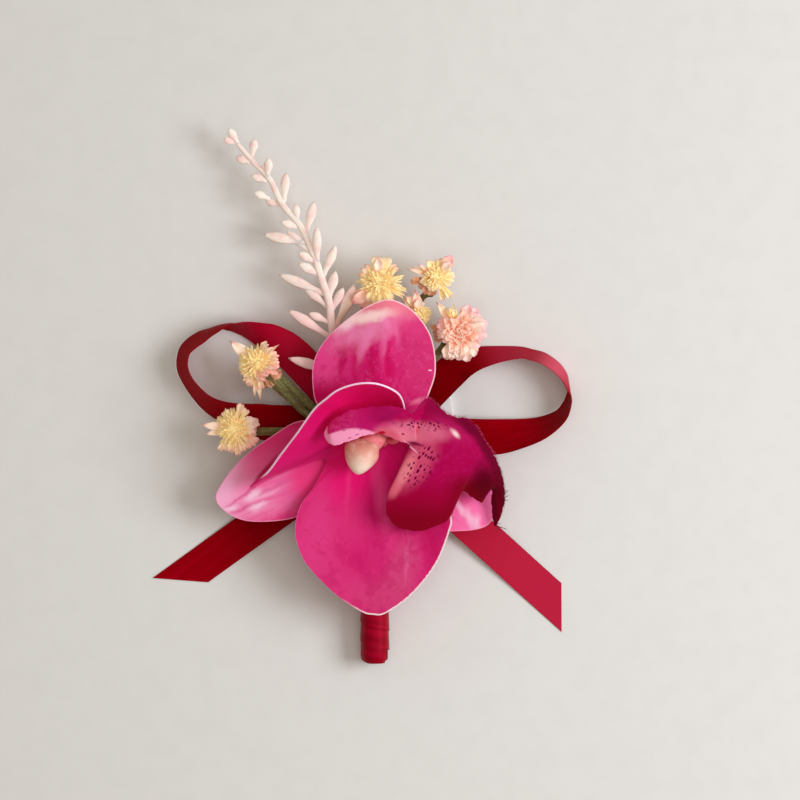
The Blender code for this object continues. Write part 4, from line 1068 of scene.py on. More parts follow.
LOOP_BOWS = [((50.7, 12.7), 0.6, 7.0), ((-39.95, 29.2), 1.2, 8.0)]
ribbon_line = smooth_through(RIBBON_LINE, 8)
steps = np.linalg.norm(np.diff(ribbon_line[:, :3], axis=0), axis=1)
ribbon_length = float(steps.sum())


def loop_bow(x, y):
    """How far the ribbon's middle bows out, in millimetres, near a place where a loop turns over."""
    total = 0.0
    for place, bow, reach in LOOP_BOWS:
        near = max(0.0, 1 - math.dist((x, y), place) / reach)
        total += bow * near * near * (3 - 2 * near)
    return total


def lay_ribbon(u, v):
    """A point of the ribbon, u across it and v along it."""
    x, y, z, turned = on_line(ribbon_line, v)
    after, before = (on_line(ribbon_line, min(max(v + step, 0), 1)) for step in (LOOK_AHEAD, -LOOK_AHEAD))
    ahead = Vector((after[0] - before[0], after[1] - before[1], 0)).normalized()
    left = Vector((-ahead.y, ahead.x, 0))
    lean = math.radians(turned)
    across = left * math.cos(lean) + Vector((0, 0, math.sin(lean)))
    side = 1 - 2 * u
    from_end = min(v, 1 - v) * ribbon_length
    slant = TAIL_SLANTS[0] if v < 0.5 else TAIL_SLANTS[1]
    pull = slant * max(0.0, 1 - from_end / SLANT_REACH)
    point = Vector((x, y, z)) + across * (RIBBON_WIDTH / 2 * side) - ahead * (pull * side)
    point += left * (loop_bow(x, y) * (1 - side * side))
    return at(*point)


bow = lay_grid("satin_bow", 10, len(ribbon_line) - 1, lay_ribbon)
thicken(bow, RIBBON_THICKNESS, 0.0, back=1)
smooth(bow, 50)
print("ribbon length, mm:", round(ribbon_length, 1))

# %% Satin
SATIN_TINT = (1.0, 0.1, 0.2, 1.0)


def satin(name, tones, roughness, width, length, painted_stretches=(), index=1.1):
    """Satin: fine yarns, a painted cloudy sheen and a woven edge. A stretch is (start, full, end, colour), a
    stretch of painted light or shade.
    """
    made = Finish(name, roughness, IOR=index, Specular_Tint=SATIN_TINT)
    lit, dark, edge = tones
    u, v = made.along()
    sized = made.combine(made.math("MULTIPLY", u, width), made.math("MULTIPLY", v, length))
    weave = made.group("satin_weave", Place=sized, Across=7.0, Along=1.2)
    # Painted sheen: the lit tone is laid over the dark one in broad clouds.
    tone = made.over(dark, lit, made.band(weave["Sheen"], 0.35, 0.65))
    for start, full, end, colour in painted_stretches:
        stretch = made.both(made.band(v, start, full), made.band(v, end, full))
        tone = made.over(tone, colour, stretch)
    from_edge = made.math("MULTIPLY", made.math("MINIMUM", u, made.math("SUBTRACT", 1.0, u)), width)
    picks = made.math("PINGPONG", made.math("MULTIPLY", v, length), 0.35)
    selvedge = made.both(made.band(from_edge, 0.3, 0.12), made.band(picks, 0.05, 0.25))
    tone = made.over(tone, edge, made.both(selvedge, 0.4))
    made.relief(made.math("ADD", weave["Height"], selvedge), 0.03, 0.5)
    return made.done(tone)


def share_at(x, y, z):
    """How far along the ribbon its line comes nearest to a point."""
    gaps = np.linalg.norm(ribbon_line[:, :3] - np.array((x, y, z)), axis=1)
    return float(gaps.argmin()) / (len(ribbon_line) - 1)


# Painted light and shade along the ribbon. The dark stretches are painted shade where the strands pass by the
# flower. The rosy and bright stretches are painted sheen on the loops' upper strands, the right loop's turn
# and the right tail. LIT and the darker second tone are mixed by satin's painted sheen.
LIT, PAINTED_SHADE, ROSY_SHEEN, BRIGHT_SHEEN = shade(158, 1, 20), shade(126, 0, 5), shade(180, 22, 54), shade(214, 76, 98)
passes = [share_at(0, 0, PASS_LOW), share_at(0, 1.5, PASS_MIDDLE), share_at(0, 0, PASS_HIGH)]
painted_stretches = [(place - 0.11, place, place + 0.11, PAINTED_SHADE) for place in passes]
right_twist = share_at(50.7, 12.73, STANDING)
painted_stretches += [
    (share_at(26, 21.2, STANDING), share_at(35, 22.9, STANDING), share_at(46, 20.4, STANDING), ROSY_SHEEN),
    (share_at(40, 22.7, STANDING), share_at(47.6, 19.2, STANDING), right_twist + 0.006, BRIGHT_SHEEN),
    (share_at(-22, 22.8, STANDING) + 0.06, share_at(-29, 27.2, STANDING), share_at(-38.6, 29.4, STANDING),
     ROSY_SHEEN),
    (share_at(-38.6, 29.4, STANDING), share_at(-29, 27.2, STANDING), share_at(-18, 18.6, 5.4),
     shade(186, 10, 46)),
    (0.90, 0.99, 1.2, shade(188, 34, 62)), (0.82, 0.88, 0.96, shade(176, 18, 46)),
]
ribbon_tones = (LIT, shade(146, 0, 12), shade(106, 0, 10))
ribbon_face = satin("ribbon_satin", ribbon_tones, 0.5, RIBBON_WIDTH, ribbon_length, painted_stretches)
# Painted light on the back of the right loop's lower strand, and painted shade where the left loop's lower
# strand passes by the flower.
lower_glow = shade(186, 6, 46)
lower_strand_light = [
    (share_at(37, 1.6, 4.6) - 0.04, share_at(32, 1.0, 4.4), share_at(12, 1.2, PASS_MIDDLE), lower_glow),
    (passes[1] - 0.02, passes[1] + 0.02, share_at(-36, 6.2, 4.6), PAINTED_SHADE),
]
back_tones = (shade(154, 0, 22), shade(142, 0, 15), shade(104, 0, 12))
back_painted_stretches = painted_stretches[:3] + lower_strand_light
ribbon_back = satin("ribbon_back", back_tones, 0.6, RIBBON_WIDTH, ribbon_length, back_painted_stretches)
coat(bow, ribbon_face, ribbon_back)
hand_over(bow, "ribbon_bow")
print("shares of the ribbon at its passes:", [round(share, 3) for share in passes])

# %% [markdown]
# ## The wound handle
#
# The stem ends are wound with the same ribbon. It goes round nearly seven times, each turn a little higher
# and lapping half over the one below, so its lower edges show as steps. The grid is one long strip, laid as a
# screw whose lower edge stands a little further out. A folded piece of ribbon closes the end.

# %% Wind the ribbon
HANDLE_TOP = Vector((0.0, -20.0, 8.8))
HANDLE_FOOT = Vector((0.0, -58.6, 4.2))
HANDLE_RADIUS = 3.45
LAP_STEP = 0.32
TURN_RISE = 5.0
WRAP_THICKNESS = 0.2
TAPER_HEIGHT, TAPER, LOWEST_EDGE = 2.6, 0.24, 0.25
WAVE_HEIGHT, WAVE_PACE, WINDING_START = 0.05, 5.3, 0.6
handle_way = (HANDLE_TOP - HANDLE_FOOT).normalized()
handle_up = Vector((1, 0, 0)).cross(handle_way)
handle_length = (HANDLE_TOP - HANDLE_FOOT).length
wrap_turns = (handle_length - RIBBON_WIDTH) / TURN_RISE + 0.9
wrap_length = wrap_turns * math.tau * (HANDLE_RADIUS + LAP_STEP / 2)


def handle_point(place, angle, radius):
    """A point on the handle, a distance up it and round it."""
    around = Vector((1, 0, 0)) * math.cos(angle) + handle_up * math.sin(angle)
    return HANDLE_FOOT + handle_way * place + around * radius


def lay_wrap(u, v):
    """A point of the wound strip, u up its width and v along its length."""
    turns = v * wrap_turns
    place = turns * TURN_RISE + (u - 0.1) * RIBBON_WIDTH
    place = min(max(place, LOWEST_EDGE), handle_length)
    foot = max(0.0, 1 - place / TAPER_HEIGHT)
    wave = WAVE_HEIGHT * math.sin(WAVE_PACE * turns) * (1 - u)
    radius = (HANDLE_RADIUS + LAP_STEP * (1 - u) ** 1.5 + wave) * (1 - TAPER * foot**2)
    return at(*handle_point(place, math.tau * turns + WINDING_START, radius))


wrap = lay_grid("wound_ribbon", 8, int(wrap_turns * 44), lay_wrap)
thicken(wrap, WRAP_THICKNESS, 0.0)
smooth(wrap, 50)
# The lit and dark tones are mixed by satin's painted sheen.
wrap_tones = (shade(160, 2, 34), shade(138, 0, 22), shade(120, 4, 24))
wrap_satin = satin("wrap_satin", wrap_tones, 0.42, RIBBON_WIDTH, wrap_length, index=1.35)
coat(wrap, wrap_satin)
hand_over(wrap, "stem_wrap")

# %% Fold the end over
FOLD_DEPTH, FOLD_RADIUS, FOLD_SLEEVE = 1.3, 3.3, 8.0


def lay_fold(u, v):
    """The folded end: a sleeve under the turns that closes over the stem ends, slightly lopsided."""
    angle = math.tau * u
    if v < 0.5:
        bend = v / 0.5 * math.pi / 2
        place, radius = FOLD_DEPTH * (1 - math.cos(bend)), FOLD_RADIUS * math.sin(bend)
    else:
        place, radius = FOLD_DEPTH + (v - 0.5) / 0.5 * FOLD_SLEEVE, FOLD_RADIUS
    crease = 0.12 * math.cos(2 * angle + 0.7) * min(1.0, v * 3)
    return at(*handle_point(max(place + 0.05 * math.cos(angle), 0.0), angle, radius + crease))


folded_end = lay_grid("folded_end", 48, 24, lay_fold)
edit(folded_end, outward)
thicken(folded_end, WRAP_THICKNESS, -1.0)
smooth(folded_end, 50)
# The lit and dark tones are mixed by satin's painted sheen.
fold_satin = satin("fold_satin", (shade(132, 0, 24), shade(118, 0, 18), shade(132, 0, 24)), 0.42, 20.0, 20.0)
coat(folded_end, fold_satin)
hand_over(folded_end, "")
print("wound strip, mm:", round(wrap_length, 1), "in", round(wrap_turns, 2), "turns")

# %% [markdown]
# ## The back pad
#
# Behind everything is a round of white felt, with a slightly soft edge. A cylinder is added at its size,
# its edge is bevelled, and a fine bump gives the felt its nap.

# %% Felt pad
pad_middle, pad_size = (pad_low + pad_high) / 2, pad_high - pad_low
pad = add("cylinder", "felt_pad", vertices=96, radius=pad_size.x / 2 * MM, depth=pad_size.z * MM,
          location=pad_middle * MM)
soft_edge = pad.modifiers.new("soft_edge", "BEVEL")
soft_edge.width, soft_edge.segments, soft_edge.limit_method = 0.5 * MM, 4, "ANGLE"
apply_all(pad)
smooth(pad, 40)
felt = Finish("white_felt", 0.92, Specular_IOR_Level=0.15)
where = felt.place()
nap, lint = felt.noise(where, 3.2, 5.0, 0.75), felt.noise(where, 0.5, 3.0, 0.6)
tone = felt.over(shade(240, 237, 232), shade(220, 215, 208), felt.band(nap, 0.45, 0.75))
tone = felt.over(tone, shade(232, 226, 218), felt.both(felt.band(lint, 0.5, 0.7), 0.6))
felt.relief(nap, 0.18, 0.7)
coat(pad, felt.done(tone))
hand_over(pad, "back_pad")

# %% [markdown]
# ## The stems
#
# The filler stems are moulded green plastic with shallow grooves. Each is a tube laid along the route that
# its solid takes, and a small cup under each head, the calyx, is a short tube that widens. The stem of the
# orchid and the thread round the bow keep their solids, which have the right shape, and get a new finish.

# %% Stem finish
green = Finish("stem_green", 0.5, Specular_IOR_Level=0.3)
where = green.place()
grain = green.noise(where, 1.4, 4.0, 0.65)
wide = green.noise(where, 0.25, 2.0, 0.5)
tone = green.over(shade(112, 110, 58), shade(148, 146, 92), green.band(grain, 0.42, 0.7))
tone = green.over(tone, shade(120, 84, 46), green.both(green.band(wide, 0.5, 0.65), 0.7))
_, y, _ = green.parts(where)
tone = green.over(tone, shade(98, 104, 56), green.both(green.band(y, 36.0, 38.5), 0.7))
green.relief(grain, 0.06, 0.6)
stem_green = green.done(tone)

# %% Stem routes
STEM_OFFSET = 1.2
HEAD_FOOT = 0.72
CALYX_HEIGHT = 2.0
CLEAR = 0.3
LEFT_STEM = [(-1.8, -8.0, 7.8), (-3.4, -3.0, 7.8), (-6.0, 2.0, 7.9)]
RIGHT_STEM = [(3.0, -6.0, 7.8), (6.0, 8.0, 8.0), (8.0, 20.0, 8.2)]
HEADS = [
    ((-32.9, 20.3, 11.5), 7.0, (-0.55, 0.42, 0.72)), ((-37.4, 2.6, 13.0), 6.5, (-0.70, 0.08, 0.71)),
    ((1.3, 42.0, 10.4), 6.4, (-0.10, 0.75, 0.66)), ((15.3, 43.4, 10.4), 5.8, (0.10, 0.72, 0.68)),
    ((9.2, 35.0, 8.0), 4.2, (0.05, 0.75, 0.66)), ((22.1, 28.4, 11.5), 7.2, (0.50, 0.42, 0.76)),
]


def handle_height(y):
    share = (y - HANDLE_FOOT.y) / (HANDLE_TOP.y - HANDLE_FOOT.y)
    return HANDLE_FOOT.z + share * (HANDLE_TOP.z - HANDLE_FOOT.z)


def stem_route(across, up, beyond):
    """A stem's way from inside the handle and on through the given points."""
    inside = [(across, y, handle_height(y) + up) for y in (-56.5, -40.0, HANDLE_TOP.y)]
    return smooth_through(inside + list(beyond), 8)


def stem(name, line, radius, groove=0.14, grooves=6):
    return lay_round(name, 24, len(line) * 2, lay_tube(line, [radius, radius, radius], groove, grooves))


def head_stem(name, start, head, radius):
    """A branch to the foot of a head, with its calyx."""
    centre, size, facing = Vector(head[0]), head[1], Vector(head[2]).normalized()
    foot = centre - facing * (HEAD_FOOT * size + CLEAR)
    low = foot - facing * CALYX_HEIGHT
    line = smooth_through(list(start) + [low, foot - facing * (CALYX_HEIGHT / 2)], 8)
    cup_line = smooth_through([low - facing, low, foot, foot + facing * 0.2], 6)
    cup_radii = [radius * 0.9, 1.0, 0.2 * size, 0.3 * size]
    return [stem(name, line, radius), lay_round(name + "_cup", 20, 18, lay_tube(cup_line, cup_radii, 0.1, 5))]


left_parts = [stem("left_stem", stem_route(-STEM_OFFSET, -STEM_OFFSET, LEFT_STEM), 1.0)]
upper_way = [LEFT_STEM[1], LEFT_STEM[2], (-16.2, 8.6, 7.9), (-21.0, 12.9, 7.9), (-25.4, 16.6, 7.8)]
left_parts.append(stem("upper_branch", smooth_through(upper_way + [(-29.6, 18.4, 8.6)], 8), 1.15, 0.12, 5))
second_way = [(-8.0, 1.0, 8.0), (-17.6, 6.8, 7.7), (-22.4, 11.1, 7.7), (-26.4, 14.6, 7.6), (-29.0, 17.2, 8.2)]
left_parts.append(stem("second_strand", smooth_through(second_way, 8), 1.1, 0.12, 5))
calyx_way = [(-22.6, 12.6, 7.8), (-25.6, 15.2, 7.9), (-28.2, 17.4, 8.4), (-30.2, 19.0, 9.2)]
calyx_line = smooth_through(calyx_way, 6)
left_parts.append(lay_round("long_calyx", 28, 26, lay_tube(calyx_line, [0.8, 1.5, 2.0, 2.4, 2.5], 0.12, 7)))
lower_way = [LEFT_STEM[0], LEFT_STEM[1], (-12.0, 1.6, 7.8), (-27.0, 2.3, 7.8)]
left_parts += head_stem("lower_branch", lower_way, HEADS[1], 1.2)
left_stems = join("left_stems", left_parts)
coat(left_stems, stem_green)
hand_over(left_stems, "filler_stems_left")

middle, fork = RIGHT_STEM[1], RIGHT_STEM[2]
right_parts = [stem("right_stem", stem_route(STEM_OFFSET, -STEM_OFFSET, RIGHT_STEM), 1.0)]
for name, way, head, radius in (
    ("up_branch", [middle, fork, (4.5, 29.0, 8.0)], HEADS[2], 1.0),
    ("up_right_branch", [middle, fork, (10.6, 29.0, 4.6), (11.4, 34.0, 3.0), (12.4, 37.4, 4.2)],
     HEADS[3], 0.9),
    ("short_branch", [middle, fork], HEADS[4], 1.0),
    ("right_branch", [RIGHT_STEM[0], middle], HEADS[5], 1.0),
):
    right_parts += head_stem(name, way, head, radius)
right_stems = join("right_stems", right_parts)
coat(right_stems, stem_green)
hand_over(right_stems, "filler_stems_right")

# %% Finishes for the solids that stay
coat(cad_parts["orchid_stem"], stem_green)
twist = Finish("dark_thread", 0.75)
where = twist.place()
_, across, height = twist.parts(where)
ply = twist.math("SINE", twist.math("MULTIPLY", twist.math("ADD", across, height), 9.0))
tone = twist.over(shade(70, 6, 14), shade(112, 10, 26), twist.band(ply, -0.6, 0.8))
twist.relief(ply, 0.08, 0.8)
coat(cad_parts["bow_thread"], twist.done(tone))
print("kept solids:", "orchid_stem", "bow_thread")

# %% [markdown]
# ## The filler heads
#
# Each head is a tuft of soft yellow needles in a collar of small petals, pink at their tips. One needle and
# three petals are modelled, then copied with seeded turns, leans and lengths. The needles fan out over a
# dome. The collar is thick on the side that the stem comes from and thin on the other.

# %% One needle and three petals
TEMPLATE_THICKNESS = 0.05


def lay_needle(u, v):
    """A strap-like needle, 1 long and 1 wide, blunt at its tip, that curls up a little."""
    angle = math.tau * u
    radius = 0.5 * float(np.interp(v, [0, 0.02, 0.6, 0.88, 1], [0, 0.7, 1.0, 0.8, 0]))
    return Vector((radius * math.cos(angle), v, 0.55 * radius * math.sin(angle) + 0.12 * v * v))


def lay_petal(widths, notch, cup, curl):
    """A petal 1 long and 1 wide. It cups across, rises along its length and curls back at its tip."""

    def lay(u, v):
        side = 2 * u - 1
        width = float(np.interp(v, np.linspace(0, 1, len(widths)), widths))
        tip = (notch * (1 - abs(side)) + 0.16 * side**4) * v**5
        ruffle = 0.03 * math.sin(9 * side + 3) * v * v
        return Vector((0.5 * side * width, v - tip,
                       cup * side * side * v + curl * (v * v - 1.25 * v**4) + ruffle))

    return lay


def petal_template(name, widths, notch, cup, curl):
    piece = lay_grid(name, 4, 7, lay_petal(widths, notch, cup, curl))
    face_up(piece)
    thicken(piece, TEMPLATE_THICKNESS / MM, 0.0)
    smooth(piece)
    return piece


needle = lay_round("needle", 6, 6, lay_needle)
NOTCHED = petal_template("notched_petal", [0.25, 0.4, 0.62, 0.85, 1.0, 0.96], 0.18, 0.22, 0.30)
ROUNDED = petal_template("rounded_petal", [0.35, 0.5, 0.7, 0.88, 1.0, 0.98, 0.66], 0.0, 0.26, 0.3)
POINTED = petal_template("pointed_petal", [0.5, 0.85, 1.0, 0.9, 0.66, 0.4, 0.06], 0.0, 0.16, 0.18)
templates = [hair, needle, NOTCHED, ROUNDED, POINTED]
print("needle:", len(needle.data.polygons), "faces; petal:", len(NOTCHED.data.polygons), "faces")

# %% Head finishes
THIN_GLOW = 0.085


def soft_finish(name):
    return Finish(name, 0.6, Specular_IOR_Level=0.2, **through_light(0.2, (1.0, 0.7, 0.5), 0.4))


def painted_glow(made, tone, strength=THIN_GLOW):
    """A painted glow: a little light of the piece's own colour stands for the room's light that thin foam
    lets through.
    """
    made.feed(tone, made.sockets["Emission Color"])
    made.sockets["Emission Strength"].default_value = strength
    return made.done(tone)


tuft_paint = soft_finish("tuft_yellow")
_, v = tuft_paint.along()
where = tuft_paint.place()
patch = tuft_paint.noise(where, 0.8, 2.0, 0.5)
tone = tuft_paint.over(shade(252, 208, 122), shade(255, 228, 166), tuft_paint.band(v, 0.05, 0.7))
tone = tuft_paint.over(tone, shade(255, 218, 170), tuft_paint.both(tuft_paint.band(patch, 0.52, 0.66), 0.6))
# The needles glow a little with a painted glow of their own colour.
tuft_yellow = painted_glow(tuft_paint, tone)


def petal_finish(name, root, middle, tip, patch_tone):
    """A collar petal: yellow or brown at its root, and tinted at its tip."""
    made = soft_finish(name)
    _, v = made.along()
    where = made.place()
    patch = made.noise(where, 0.6, 2.0, 0.5)
    tone = made.over(root, middle, made.band(v, 0.15, 0.5))
    tone = made.over(tone, tip, made.band(v, 0.6, 1.0))
    tone = made.over(tone, patch_tone, made.both(made.band(patch, 0.48, 0.64), 0.6))
    # The petals glow a little with a painted glow of their own colour.
    return painted_glow(made, tone)


COLLAR_SHADES = {
    "yellow_petal": ((255, 212, 124), (255, 228, 164), (255, 220, 184), (255, 232, 186)),
    "peach_petal": ((252, 208, 142), (255, 222, 184), (252, 194, 172), (252, 212, 184)),
    "pink_petal": ((252, 192, 146), (255, 204, 180), (252, 176, 166), (252, 212, 194)),
    "pale_petal": ((255, 210, 164), (255, 224, 200), (252, 204, 190), (255, 230, 210)),
    "salmon_petal": ((255, 166, 124), (255, 190, 158), (255, 204, 186), (255, 196, 164)),
    "blush_petal": ((255, 178, 146), (255, 200, 182), (255, 190, 190), (255, 214, 208)),
    "dry_petal": ((140, 84, 48), (206, 146, 106), (236, 184, 150), (190, 116, 76)),
}
(yellow_petal, peach_petal, pink_petal, pale_petal, salmon_petal, blush_petal, dry_petal) = (
    petal_finish(name, *(shade(*tone) for tone in tones)) for name, tones in COLLAR_SHADES.items()
)

# %% Grow the heads
CORE_RADII = (0.14, 0.2, 0.3, 0.36, 0.3, 0.1)


def head_way(facing, bearing, lift):
    """A direction that leaves a head at a compass bearing, lifted from its collar towards where it faces."""
    flat = Vector((math.cos(math.radians(bearing)), math.sin(math.radians(bearing)), 0))
    flat = (flat - facing * flat.dot(facing)).normalized()
    return flat * math.cos(math.radians(lift)) + facing * math.sin(math.radians(lift))


def grow_collar(middle, facing, rows, seed):
    """Petals in rows. A row is: finish, shape, first and last bearing, count, lift, start, length, width."""
    grown = {}
    for skin, shape, first, last, count, lift, start, length, width in rows:
        for index in range(count):
            loose = 0.0 if count == 1 else 1.0
            bearing = first + (last - first) * (index + 0.5 + loose * seed.uniform(-0.3, 0.3)) / count
            way = head_way(facing, bearing, lift + loose * seed.uniform(-11, 11))
            lean = facing + Vector((seed.uniform(-0.3, 0.3), seed.uniform(-0.3, 0.3), 0)) * loose
            long = length * (1 + loose * seed.uniform(-0.15, 0.12)) * MM
            wide = width * (1 + loose * seed.uniform(-0.15, 0.2)) * MM
            matrix = stand(at(*(middle + way * start)), way, lean, wide, long, long)
            grown.setdefault((skin.name, shape.name), (skin, shape, []))[2].append(matrix)
    parts = []
    for skin, shape, matrices in grown.values():
        parts.append(join(f"row_of_{skin.name}", copies(shape, matrices)))
        coat(parts[-1], skin)
    return parts


def grow_tuft(middle, axis, reach, spread, count, seed):
    """Needles over a dome. Spread widens the dome in x and y."""
    axis = axis.normalized()
    side = axis.orthogonal().normalized()
    stands = []
    for index in range(count):
        height = 0.03 + 0.94 * (index + 0.5) / count
        turn = index * math.pi * (3 - math.sqrt(5)) + seed.uniform(-0.25, 0.25)
        level = math.sqrt(1 - height**2)
        way = (side * math.cos(turn) + axis.cross(side) * math.sin(turn)) * level + axis * height
        way = Vector((way.x * spread[0], way.y * spread[1], way.z))
        long = reach * way.length * seed.uniform(0.84, 1.08) * (1 - 0.2 * height)
        lean = axis + side * seed.uniform(-0.4, 0.4)
        stands.append(stand(at(*(middle + way.normalized() * 0.5)), way, lean, seed.uniform(0.6, 0.85) * MM,
                            long * MM, 0.6 * MM))
    tuft = join("tuft", copies(needle, stands))
    button = add("uv_sphere", "button", segments=16, ring_count=10, radius=0.52 * reach * MM,
                 location=at(*(middle + axis * 0.3)))
    smooth(button)
    return join("tuft", [tuft, button])


def grow_head(number, rows, tuft_place, tuft_axis, reach, spread, count, seed):
    """One filler head: its core and collar stand for one solid, its needles for the other."""
    centre, size, facing = Vector(HEADS[number - 1][0]), HEADS[number - 1][1], Vector(HEADS[number - 1][2])
    facing.normalize()
    middle = Vector((*tuft_place, centre.z - 0.1 * size))
    parts = grow_collar(middle, Vector(tuft_axis).normalized(), rows, seed)
    core_line = smooth_through([centre - facing * HEAD_FOOT * size, centre - facing * 0.3 * size, middle], 6)
    core = lay_round("core", 16, 12, lay_tube(core_line, [share * size for share in CORE_RADII]))
    coat(core, dry_petal)
    collar = join(f"head_{number}_collar", parts + [core])
    tuft = grow_tuft(middle, Vector(tuft_axis), reach, spread, count, seed)
    tuft.name = tuft.data.name = f"head_{number}_needles"
    coat(tuft, tuft_yellow)
    hand_over(collar, f"head_{number}_petals")
    hand_over(tuft, f"head_{number}_tuft")


# %% [markdown]
# What each head shows, in millimetres. The two on the left have one long petal that reaches left and brown,
# curled petals below. The upper ones are mostly needles with one broad petal. The last one is a full
# salmon pompon with rounder petals, pale at its foot.

# %% The six heads
seed = random.Random(29)
grow_head(1, [
    (pale_petal, POINTED, 141, 141, 1, 8, 2.0, 7.2, 3.3),
    (peach_petal, ROUNDED, -30, 72, 7, 20, 2.8, 3.6, 1.6),
    (pink_petal, ROUNDED, -36, 30, 5, 0, 3.0, 3.6, 1.7),
    (pink_petal, ROUNDED, -78, -34, 4, 16, 1.6, 3.8, 1.9),
    (dry_petal, ROUNDED, -74, -26, 4, -26, 3.2, 4.8, 2.6),
    (peach_petal, NOTCHED, -122, -74, 6, -10, 2.2, 5.0, 1.8),
    (peach_petal, POINTED, -96, -78, 2, -16, 4.4, 5.6, 1.2),
    (peach_petal, POINTED, 34, 34, 1, 16, 3.8, 4.2, 1.0),
    (yellow_petal, NOTCHED, 170, 240, 6, 0, 2.0, 3.6, 1.3),
], (-31.1, 20.4), (-0.14, 0.14, 0.98), 4.7, (1.02, 0.98), 100, seed)
grow_head(2, [
    (pale_petal, POINTED, 174, 174, 1, 8, 2.6, 6.2, 2.4),
    (pale_petal, POINTED, 192, 192, 1, 4, 3.0, 4.8, 1.8),
    (peach_petal, NOTCHED, 50, 74, 2, 12, 2.6, 4.4, 2.2), (pale_petal, ROUNDED, -16, 38, 5, 8, 2.6, 3.6, 1.7),
    (pink_petal, ROUNDED, -20, 30, 4, -6, 2.8, 3.6, 1.8),
    (pink_petal, NOTCHED, -50, -26, 2, -4, 3.0, 4.8, 2.8),
    (peach_petal, NOTCHED, -130, -56, 8, -4, 2.4, 4.8, 1.5),
    (yellow_petal, NOTCHED, 90, 160, 5, 0, 2.0, 3.8, 1.4),
], (-36.9, 3.1), (-0.1, 0.04, 0.99), 5.0, (0.98, 1.12), 104, seed)
grow_head(3, [
    (yellow_petal, NOTCHED, 86, 86, 1, 24, 1.0, 6.4, 5.6),
    (pale_petal, ROUNDED, 96, 96, 1, 30, 1.0, 5.6, 2.6),
    (peach_petal, ROUNDED, 130, 170, 3, 8, 2.4, 4.0, 1.5),
    (pink_petal, ROUNDED, 206, 238, 4, -14, 2.6, 6.4, 3.2),
    (yellow_petal, ROUNDED, 236, 306, 7, -4, 1.8, 4.6, 1.8),
    (yellow_petal, POINTED, 318, 346, 4, -4, 2.8, 4.6, 1.2),
    (peach_petal, ROUNDED, 30, 52, 2, 10, 2.6, 3.6, 1.3),
    (dry_petal, NOTCHED, 232, 300, 5, -30, 2.0, 5.0, 1.8),
], (1.4, 41.6), (-0.02, 0.2, 0.98), 5.1, (1.2, 0.8), 120, seed)
grow_head(4, [
    (pink_petal, ROUNDED, 52, 52, 1, 22, 2.0, 5.0, 3.4), (pale_petal, ROUNDED, 46, 46, 1, 32, 1.8, 4.0, 2.4),
    (pink_petal, POINTED, 166, 166, 1, 10, 3.0, 5.2, 1.1),
    (pink_petal, POINTED, 146, 146, 1, 14, 2.6, 3.6, 1.1),
    (dry_petal, ROUNDED, 186, 194, 2, -4, 3.0, 3.4, 1.5),
    (peach_petal, POINTED, 156, 156, 1, -4, 3.0, 4.0, 1.0),
    (yellow_petal, NOTCHED, -78, -46, 5, -2, 2.4, 4.4, 1.1),
    (yellow_petal, ROUNDED, -40, 130, 11, 14, 1.6, 3.2, 1.8),
    (dry_petal, ROUNDED, 200, 260, 4, -20, 1.2, 4.2, 2.4),
    (yellow_petal, ROUNDED, 190, 270, 5, 10, 1.0, 3.2, 1.8),
], (16.0, 42.8), (0.1, 0.1, 0.98), 3.7, (1.0, 1.0), 76, seed)
grow_head(5, [
    (pink_petal, POINTED, 100, 100, 1, 18, 1.2, 5.6, 2.8),
    (pale_petal, ROUNDED, 92, 92, 1, 34, 0.8, 3.6, 2.9),
    (peach_petal, ROUNDED, 122, 140, 2, 6, 2.0, 3.4, 1.6),
    (yellow_petal, POINTED, -64, 34, 8, 8, 1.2, 2.7, 1.1),
], (11.5, 33.1), (0.08, 0.12, 0.98), 2.5, (1.0, 1.04), 56, seed)
grow_head(6, [
    (pale_petal, ROUNDED, -126, -50, 5, -2, 2.6, 5.8, 3.3),
    (pale_petal, ROUNDED, -116, -60, 4, 16, 2.0, 4.8, 2.6),
    (blush_petal, ROUNDED, -44, 88, 9, 4, 2.0, 5.2, 3.1), (pale_petal, ROUNDED, 8, 36, 3, 14, 2.2, 4.9, 3.2),
    (blush_petal, ROUNDED, 130, 206, 7, 6, 2.0, 4.0, 1.9),
    (dry_petal, ROUNDED, 164, 206, 4, -14, 3.4, 4.0, 1.9),
    (pale_petal, ROUNDED, 186, 216, 3, 14, 2.0, 3.6, 2.0),
    (salmon_petal, ROUNDED, 0, 360, 11, 24, 1.2, 4.4, 2.6),
    (salmon_petal, ROUNDED, 0, 360, 10, 44, 0.8, 4.0, 2.4),
    (salmon_petal, ROUNDED, 0, 360, 8, 60, 0.4, 3.7, 2.1),
    (salmon_petal, NOTCHED, 0, 360, 6, 76, 0.2, 3.4, 1.4),
    (peach_petal, POINTED, 128, 128, 1, 8, 4.0, 6.0, 2.2),
    (yellow_petal, ROUNDED, 98, 122, 4, 14, 3.0, 4.2, 1.5),
], (22.0, 28.5), (0.06, 0.06, 0.99), 2.4, (1.0, 1.0), 12, seed)

# %% [markdown]
# ## The spray
#
# The spray is soft moulded plastic, blush at its foot and almost cream at its tip. Its buds are lances on
# slim stalks. One bud is modelled and copied, and each copy runs from its place on the stem to where its
# tip was measured.

